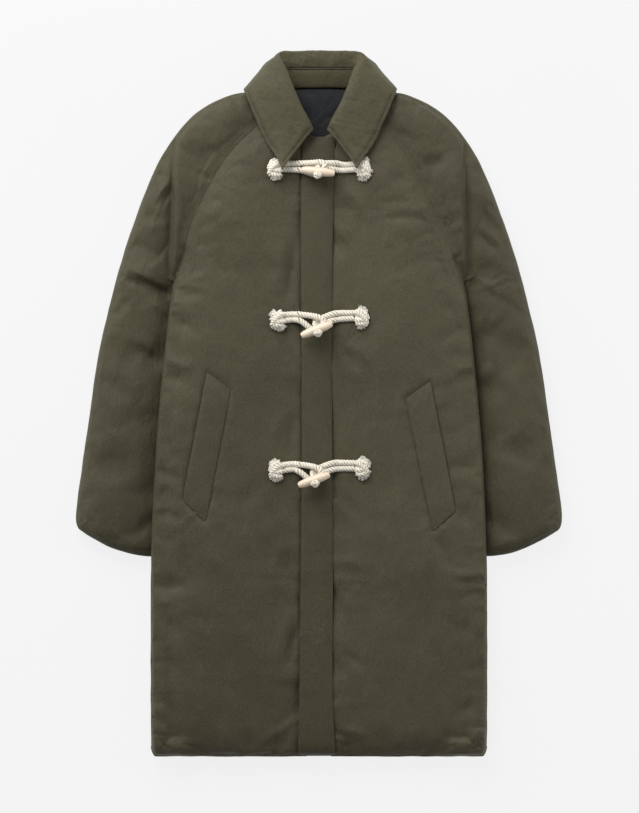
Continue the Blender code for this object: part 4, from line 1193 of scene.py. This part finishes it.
def buildTape(name, side, sleeve, front):
    # the seam allowance, turned towards the sleeve and sewn down flat: a low band along the raglan seam
    tree = treeOf(sleeve, front)
    route = curveThrough(inMetres(raglanSeam[side]), tapeLook["step"])
    section = tapeLook["section"]
    points, faces = [], []
    for index, spot in enumerate(route):
        outward = acrossLine(route, index) * side
        places = [spot + outward * offset for offset, _ in section]
        hits = [dropOnto(tree, place)[0] for place in places]
        known = sorted(hit.z for hit in hits if hit)
        if not known:
            continue
        level = known[len(known) // 2]
        for place, hit, (_, lift) in zip(places, hits, section):
            low = hit.z if hit and abs(hit.z - level) < tapeLook["jump"] else level
            uneven = noise.noise((place.x * 160, place.y * 160, 2.0)) * tapeLook["roughness"]
            points.append(Vector((place.x, place.y, low + lift + uneven)))
        start = len(points) - 2 * len(section)
        if start >= 0:
            corners = range(start, start + len(section) - 1)
            faces += [(a, a + 1, a + 1 + len(section), a + len(section)) for a in corners]
    piece = meshPiece(name, points, faces)
    if piece.data.polygons[0].normal.z < 0:
        with editing(piece):
            bpy.ops.mesh.flip_normals()
    applied(piece, "SOLIDIFY", thickness=tapeLook["thickness"], offset=-1.0)
    subdivided(piece, 1)
    return finishPiece(piece, shell, "shell")


tapeLeft = buildTape("raglanTapeLeft", -1, sleeveLeft, frontLeft)
tapeRight = buildTape("raglanTapeRight", 1, sleeveRight, frontRight)
for side, word, carriers in (
    (-1, "Left", [tapeLeft, sleeveLeft, frontLeft]), (1, "Right", [tapeRight, sleeveRight, frontRight]),
):
    seam = inMetres(raglanSeam[side][:-1])
    seamRows = [aside(seam, offset * side) for offset in tapeLook["stitches"]]
    sewAlong(f"raglanStitch{word}", seamRows, carriers)
    sewAlong(f"collarStitch{word}", [collarLine(side, collarLook["inset"])], [collarFall])
for word, welt, front in (("Left", weltLeft, frontLeft), ("Right", weltRight, frontRight)):
    lines = [inMetres(line) for line in weltStitches[word]]
    sewAlong(f"weltStitch{word}", lines, [welt, front], stitchLook["weltPitch"])
print("stitching ready")

knotSize = Vector((0.0130, 0.0172, 0.0064))
fastenings = [
    {"name": "top", "toggle": (-0.0015, 0.3698), "heading": -6.5, "level": True,
     "left": (-0.0700, 0.3755), "right": (0.0700, 0.3750)},
    {"name": "middle", "toggle": (-0.0038, 0.1178), "heading": 21.5, "level": False,
     "left": (-0.0660, 0.1340), "right": (0.0670, 0.1370)},
    {"name": "low", "toggle": (-0.0080, -0.1215), "heading": 19.5, "level": False,
     "left": (-0.0680, -0.1060), "right": (0.0680, -0.1030)},
]
loopRoute = [  # x, y, y where the toggle hangs level, lift: all from the toggle's middle
    (-.0330, .0252, .0142, 0), (-.0218, .0242, .0142, 0), (-.0063, .0222, .0150, .002),
    (.0028, .0200, .0155, .0066), (.0100, .0156, .0128, .0082), (.0105, .0088, .0080, .0084),
    (.0068, .0028, -.0005, .0050), (-.0002, 0, -.0035, 0), (-.0088, .0016, -.0025, 0),
    (-.0203, .0108, .0012, 0), (-.0320, .0165, .0038, 0),
]
cordRoute = [
    (.0438, .0272, .0120, 0), (.0318, .0268, .0138, 0), (.0210, .0238, .0145, 0), (.0108, .0198, .0143, 0),
    (.0018, .0162, .0138, 0), (-.0030, .0121, .0098, 0), (.0018, .0080, .0058, 0), (.0112, .0108, .0060, 0),
    (.0242, .0148, .0048, 0), (.0373, .0175, .0032, 0),
]
ropeEnds = [(0.0042, 0.0080), (0.0027, -0.0008)]  # in its knot: in from the rim, and up from the middle
cloth = treeOf("front_left", "front_right", "placket")


def clothHeight(x, y, reach=0.0):
    around = ((0, 0), (reach, 0), (-reach, 0), (0, reach), (0, -reach))
    hits = [dropOnto(cloth, Vector((x + stepX, y + stepY, 0)))[0] for stepX, stepY in around]
    return max(hit.z for hit in hits if hit)


def ropeLine(fastening, route, knot):
    side = 1.0 if knot[0] > 0 else -1.0
    toggle = fastening["toggle"]
    flat = []
    for x, y, yLevel, lift in route:
        flat.append(Vector((toggle[0] + x, toggle[1] + (yLevel if fastening["level"] else y), lift)))
    start, end = [Vector((knot[0] - side * (knotSize.x - x), knot[1] + y, 0.0)) for x, y in ropeEnds]
    line = []
    for spot in curveThrough([start] + flat + [end], 0.004):
        height = clothHeight(spot.x, spot.y, ropeLook["radius"] * 1.6) + ropeLook["lift"] + ropeLook["radius"]
        line.append(Vector((spot.x, spot.y, height + max(spot.z, 0.0) * ropeLook["overRise"])))
    heights = [point.z for point in line]
    for index, (before, here, after) in enumerate(zip(heights, heights[1:], heights[2:])):
        line[index + 1].z = max(here, (before + here * 2 + after) / 4)
    return curveThrough(line, ropeLook["step"])


def eitherWay(most):
    return dice.uniform(-most, most)


def buildRope(name, line, node):
    tubes = Tubes()
    tubes.strands(line)
    frames = framesAlong(line)[2:-2]
    for _ in range(int(len(line) * ropeLook["fibresPerStep"])):  # loose fibres
        point, side, up = dice.choice(frames)
        angle = dice.uniform(0, 2 * math.pi)
        out = side * math.cos(angle) + up * math.sin(angle)
        if out.z < -0.3:
            continue
        start = point + out * ropeLook["fibreRoot"]
        along = side.cross(up) * eitherWay(ropeLook["fibreAlong"])
        bend = start + out * ropeLook["fibreBend"] + along * 0.5
        end = start + out * dice.uniform(*ropeLook["fibreOut"]) + along
        tubes.add([start, bend, end], ropeLook["fibre"], 3)
    finishPiece(tubes.build(name), rope, "rope", node)


knotTurns = [  # short lengths of rope that cross over the lump, as an overhand knot shows from above
    [(-0.95, 0.55, 0.0), (-0.35, 0.50, 0.72), (0.35, 0.05, 0.85), (0.80, -0.45, 0.35), (0.62, -0.78, -0.1)],
    [(-0.90, -0.10, 0.0), (-0.30, -0.30, 0.62), (0.25, -0.10, 0.55), (0.62, 0.42, 0.45), (0.35, 0.85, -0.1)],
    [(-0.50, 0.90, 0.0), (0.05, 0.62, 0.60), (0.62, 0.38, 0.30), (0.92, -0.05, -0.1)],
    [(-0.72, -0.60, -0.1), (-0.20, -0.72, 0.45), (0.35, -0.62, 0.45), (0.72, -0.55, 0.0)],
]
# the frayed tails of each knot: middle angle, spread (degrees), how far they reach past the knot (m)
tails = {
    "top_left": [(-80, 55, 0.0060), (95, 14, 0.0022)],
    "top_right": [(-62, 75, 0.0060), (60, 20, 0.0060)],
    "middle_left": [(135, 30, 0.0050), (-60, 40, 0.0060), (-120, 40, 0.0030)],
    "middle_right": [(70, 40, 0.0055), (-75, 60, 0.0045)],
    "low_left": [(120, 35, 0.0045), (-90, 55, 0.0055)],
    "low_right": [(60, 50, 0.0060), (-60, 60, 0.0060)],
}


frayLook = {
    "inset": (0.0022, 0.0030, 0.0014),  # how much smaller than the CAD lump the rope's own path is
    "wobble": 0.08,
    "lay": 0.012,
    "ropeSize": 0.92,
    "fewest": 34,
    "perDegree": 0.5,
    "lift": (-0.0040, 0.0038),
    "root": (0.45, 0.80),
    "reach": (0.55, 1.0),
    "bend": 0.0014,
    "bendUp": 0.0012,
    "stray": 0.0012,
    "droop": 0.3,
    "thickness": (0.00048, 0.00085),
    "taper": 0.25,
    "step": 0.0017,
    "core": 0.80,
}


def buildFrayedKnot(row, word):
    side = -1.0 if word == "left" else 1.0
    name = f"knot_{row}_{word}"
    low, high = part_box(name)
    centre = (Vector(low) + Vector(high)) / 2
    tubes = Tubes()
    reach = knotSize - Vector(frayLook["inset"])
    for number, turn in enumerate(knotTurns):
        bent = []
        for x, y, z in turn:
            x, y = x + eitherWay(frayLook["wobble"]), y + eitherWay(frayLook["wobble"])
            bent.append(centre + Vector((x * side * reach.x, y * reach.y, z * reach.z)))
        line = curveThrough(bent, ropeLook["step"])
        tubes.strands(line, frayLook["lay"], frayLook["ropeSize"], number * 1.3)
    for angle, spread, length in tails[f"{row}_{word}"]:
        for _ in range(int(frayLook["fewest"] + spread * frayLook["perDegree"])):
            turned = math.radians(angle + eitherWay(spread) * 0.8)
            out = Vector((math.cos(turned), math.sin(turned), 0))
            edge = Vector((out.x * reach.x, out.y * reach.y, 0))
            lift = dice.uniform(*frayLook["lift"])
            root = centre + edge * dice.uniform(*frayLook["root"]) + upward * lift * 0.6
            far = centre + edge + out * length * dice.uniform(*frayLook["reach"]) + upward * lift
            bend = [eitherWay(frayLook["bend"]), eitherWay(frayLook["bend"])]
            bend.append(dice.uniform(0.0, frayLook["bendUp"]))
            stray = [eitherWay(frayLook["stray"]), eitherWay(frayLook["stray"])]
            stray.append(-abs(lift) * frayLook["droop"])
            thickness = dice.uniform(*frayLook["thickness"])
            spots = [root, root.lerp(far, 0.55) + Vector(bend), far + Vector(stray)]
            yarn = curveThrough(spots, frayLook["step"])
            tubes.add(yarn, lambda t, s=thickness: s * (1.0 - frayLook["taper"] * t), 5)
    piece = tubes.build(name + "_frayed")
    applied(piece, "SMOOTH", iterations=1, factor=0.2)
    finishPiece(piece, rope, "rope", name)
    lump = copyNode(name, name + "_core")
    subdivided(lump, 2)
    points = coordinates(lump)
    middle = points.mean(axis=0)
    setCoordinates(lump, middle + (points - middle) * frayLook["core"])
    finishPiece(lump, rope, "rope")


toggleLook = {
    "length": 0.053,
    "radius": 0.0073,
    "height": 0.0215,
    "roll": 40.0,
    "bore": 0.0033,
    "bevel": 0.0006,
    "grain": 60,
    "profile": [
        (0.0, 1.0), (0.30, 0.985), (0.55, 0.93), (0.75, 0.82), (0.90, 0.70), (0.965, 0.63), (1.0, 0.50),
    ],
}


def buildToggle(fastening):
    length, radius = toggleLook["length"], toggleLook["radius"]
    bpy.ops.mesh.primitive_cylinder_add(vertices=40, radius=radius, depth=length)
    toggle = bpy.context.object
    toggle.name = f"toggle_{fastening['name']}_turned"
    with editing(toggle, "DESELECT"):
        bpy.ops.mesh.select_mode(type="EDGE")
    for edge in toggle.data.edges:  # the long ones
        a, b = (toggle.data.vertices[i].co.z for i in edge.vertices)
        edge.select = abs(a - b) > length / 2
    bpy.ops.object.mode_set(mode="EDIT")
    bpy.ops.mesh.subdivide(number_cuts=27)
    bpy.ops.object.mode_set(mode="OBJECT")
    shares, sizes = zip(*toggleLook["profile"])
    for vertex in toggle.data.vertices:
        scale = np.interp(abs(vertex.co.z) / (length / 2), shares, sizes)
        vertex.co.x *= scale
        vertex.co.y *= scale
    layer, grain = toggle.data.uv_layers.active, toggleLook["grain"]
    for loop in toggle.data.loops:
        co = toggle.data.vertices[loop.vertex_index].co
        layer.data[loop.index].uv = (co.x * grain + co.y * 25, co.z * grain)
    quarter = math.pi / 2
    bpy.ops.mesh.primitive_cylinder_add(
        vertices=28, radius=toggleLook["bore"], depth=radius * 4, rotation=(0, quarter, 0))
    drill = bpy.context.object
    applied(toggle, "BOOLEAN", operation="DIFFERENCE", object=drill, solver="EXACT")
    bpy.data.objects.remove(drill)
    applied(toggle, "BEVEL", width=toggleLook["bevel"], segments=2, limit_method="ANGLE", angle_limit=0.7)
    height = clothHeight(*fastening["toggle"]) + toggleLook["height"]
    placed = Matrix.Translation((*fastening["toggle"], height))
    headed = placed @ Matrix.Rotation(math.radians(fastening["heading"]), 4, "Z")
    rolled = headed @ Matrix.Rotation(math.radians(toggleLook["roll"]), 4, "X")
    toggle.data.transform(rolled @ Matrix.Rotation(quarter, 4, "Y"))
    finishPiece(toggle, wood, "wood", f"toggle_{fastening['name']}")
    only(toggle)
    bpy.ops.object.shade_smooth_by_angle(angle=math.radians(35))
    return rolled


frontKnotLook = {  # in the toggle's own frame, with its hole along Z
    "stem": (-0.0172, -0.010, -0.003, 0.004, 0.009),
    "stemLay": (0.010, 0.72),
    "turnLay": (0.009, 0.62),
    "turns": [
        [(-0.0045, 0.0, 0.0080), (-0.0020, 0.0030, 0.0125), (0.0028, 0.0022, 0.0135),
         (0.0045, -0.0012, 0.0090)],
        [(-0.0030, -0.0034, 0.0080), (-0.0012, -0.0008, 0.0135), (0.0020, 0.0020, 0.0130),
         (0.0040, 0.0030, 0.0085)],
        [(-0.0040, 0.0028, 0.0085), (0.0, 0.0040, 0.0105), (0.0040, 0.0024, 0.0085)],
        [(-0.0036, -0.0026, 0.0085), (0.0, -0.0040, 0.0105), (0.0036, -0.0024, 0.0085)],
    ],
    "ends": 26,
    "endThickness": 0.0005,
}


def buildFrontKnot(fastening, rolled):
    tubes = Tubes()
    stem = [rolled @ Vector((0, 0, z)) for z in frontKnotLook["stem"]]
    tubes.strands(curveThrough(stem, ropeLook["step"]), *frontKnotLook["stemLay"])
    for number, turn in enumerate(frontKnotLook["turns"]):
        line = [rolled @ Vector(point) for point in turn]
        tubes.strands(curveThrough(line, ropeLook["step"]), *frontKnotLook["turnLay"], number)
    for _ in range(frontKnotLook["ends"]):
        angle = dice.uniform(0, 2 * math.pi)
        out = Vector((math.cos(angle), math.sin(angle) * 0.8, 0))
        root = out * 0.0032 + upward * dice.uniform(0.0075, 0.0115)
        far = out * dice.uniform(0.0056, 0.0068) + upward * dice.uniform(0.0085, 0.0125)
        line = [rolled @ root, rolled @ (root.lerp(far, 0.5) + upward * 0.0006), rolled @ far]
        tubes.add(curveThrough(line, 0.0015), frontKnotLook["endThickness"], 5)
    piece = tubes.build(f"toggle_knot_{fastening['name']}_wound")
    finishPiece(piece, rope, "rope", f"toggle_knot_{fastening['name']}")


for fastening in fastenings:
    row = fastening["name"]
    buildRope(f"loop_{row}_twisted", ropeLine(fastening, loopRoute, fastening["left"]), f"loop_{row}")
    buildRope(f"cord_{row}_twisted", ropeLine(fastening, cordRoute, fastening["right"]), f"cord_{row}")
    rolled = buildToggle(fastening)
    buildFrontKnot(fastening, rolled)
    buildFrayedKnot(row, "left")
    buildFrayedKnot(row, "right")
print("fastenings ready")
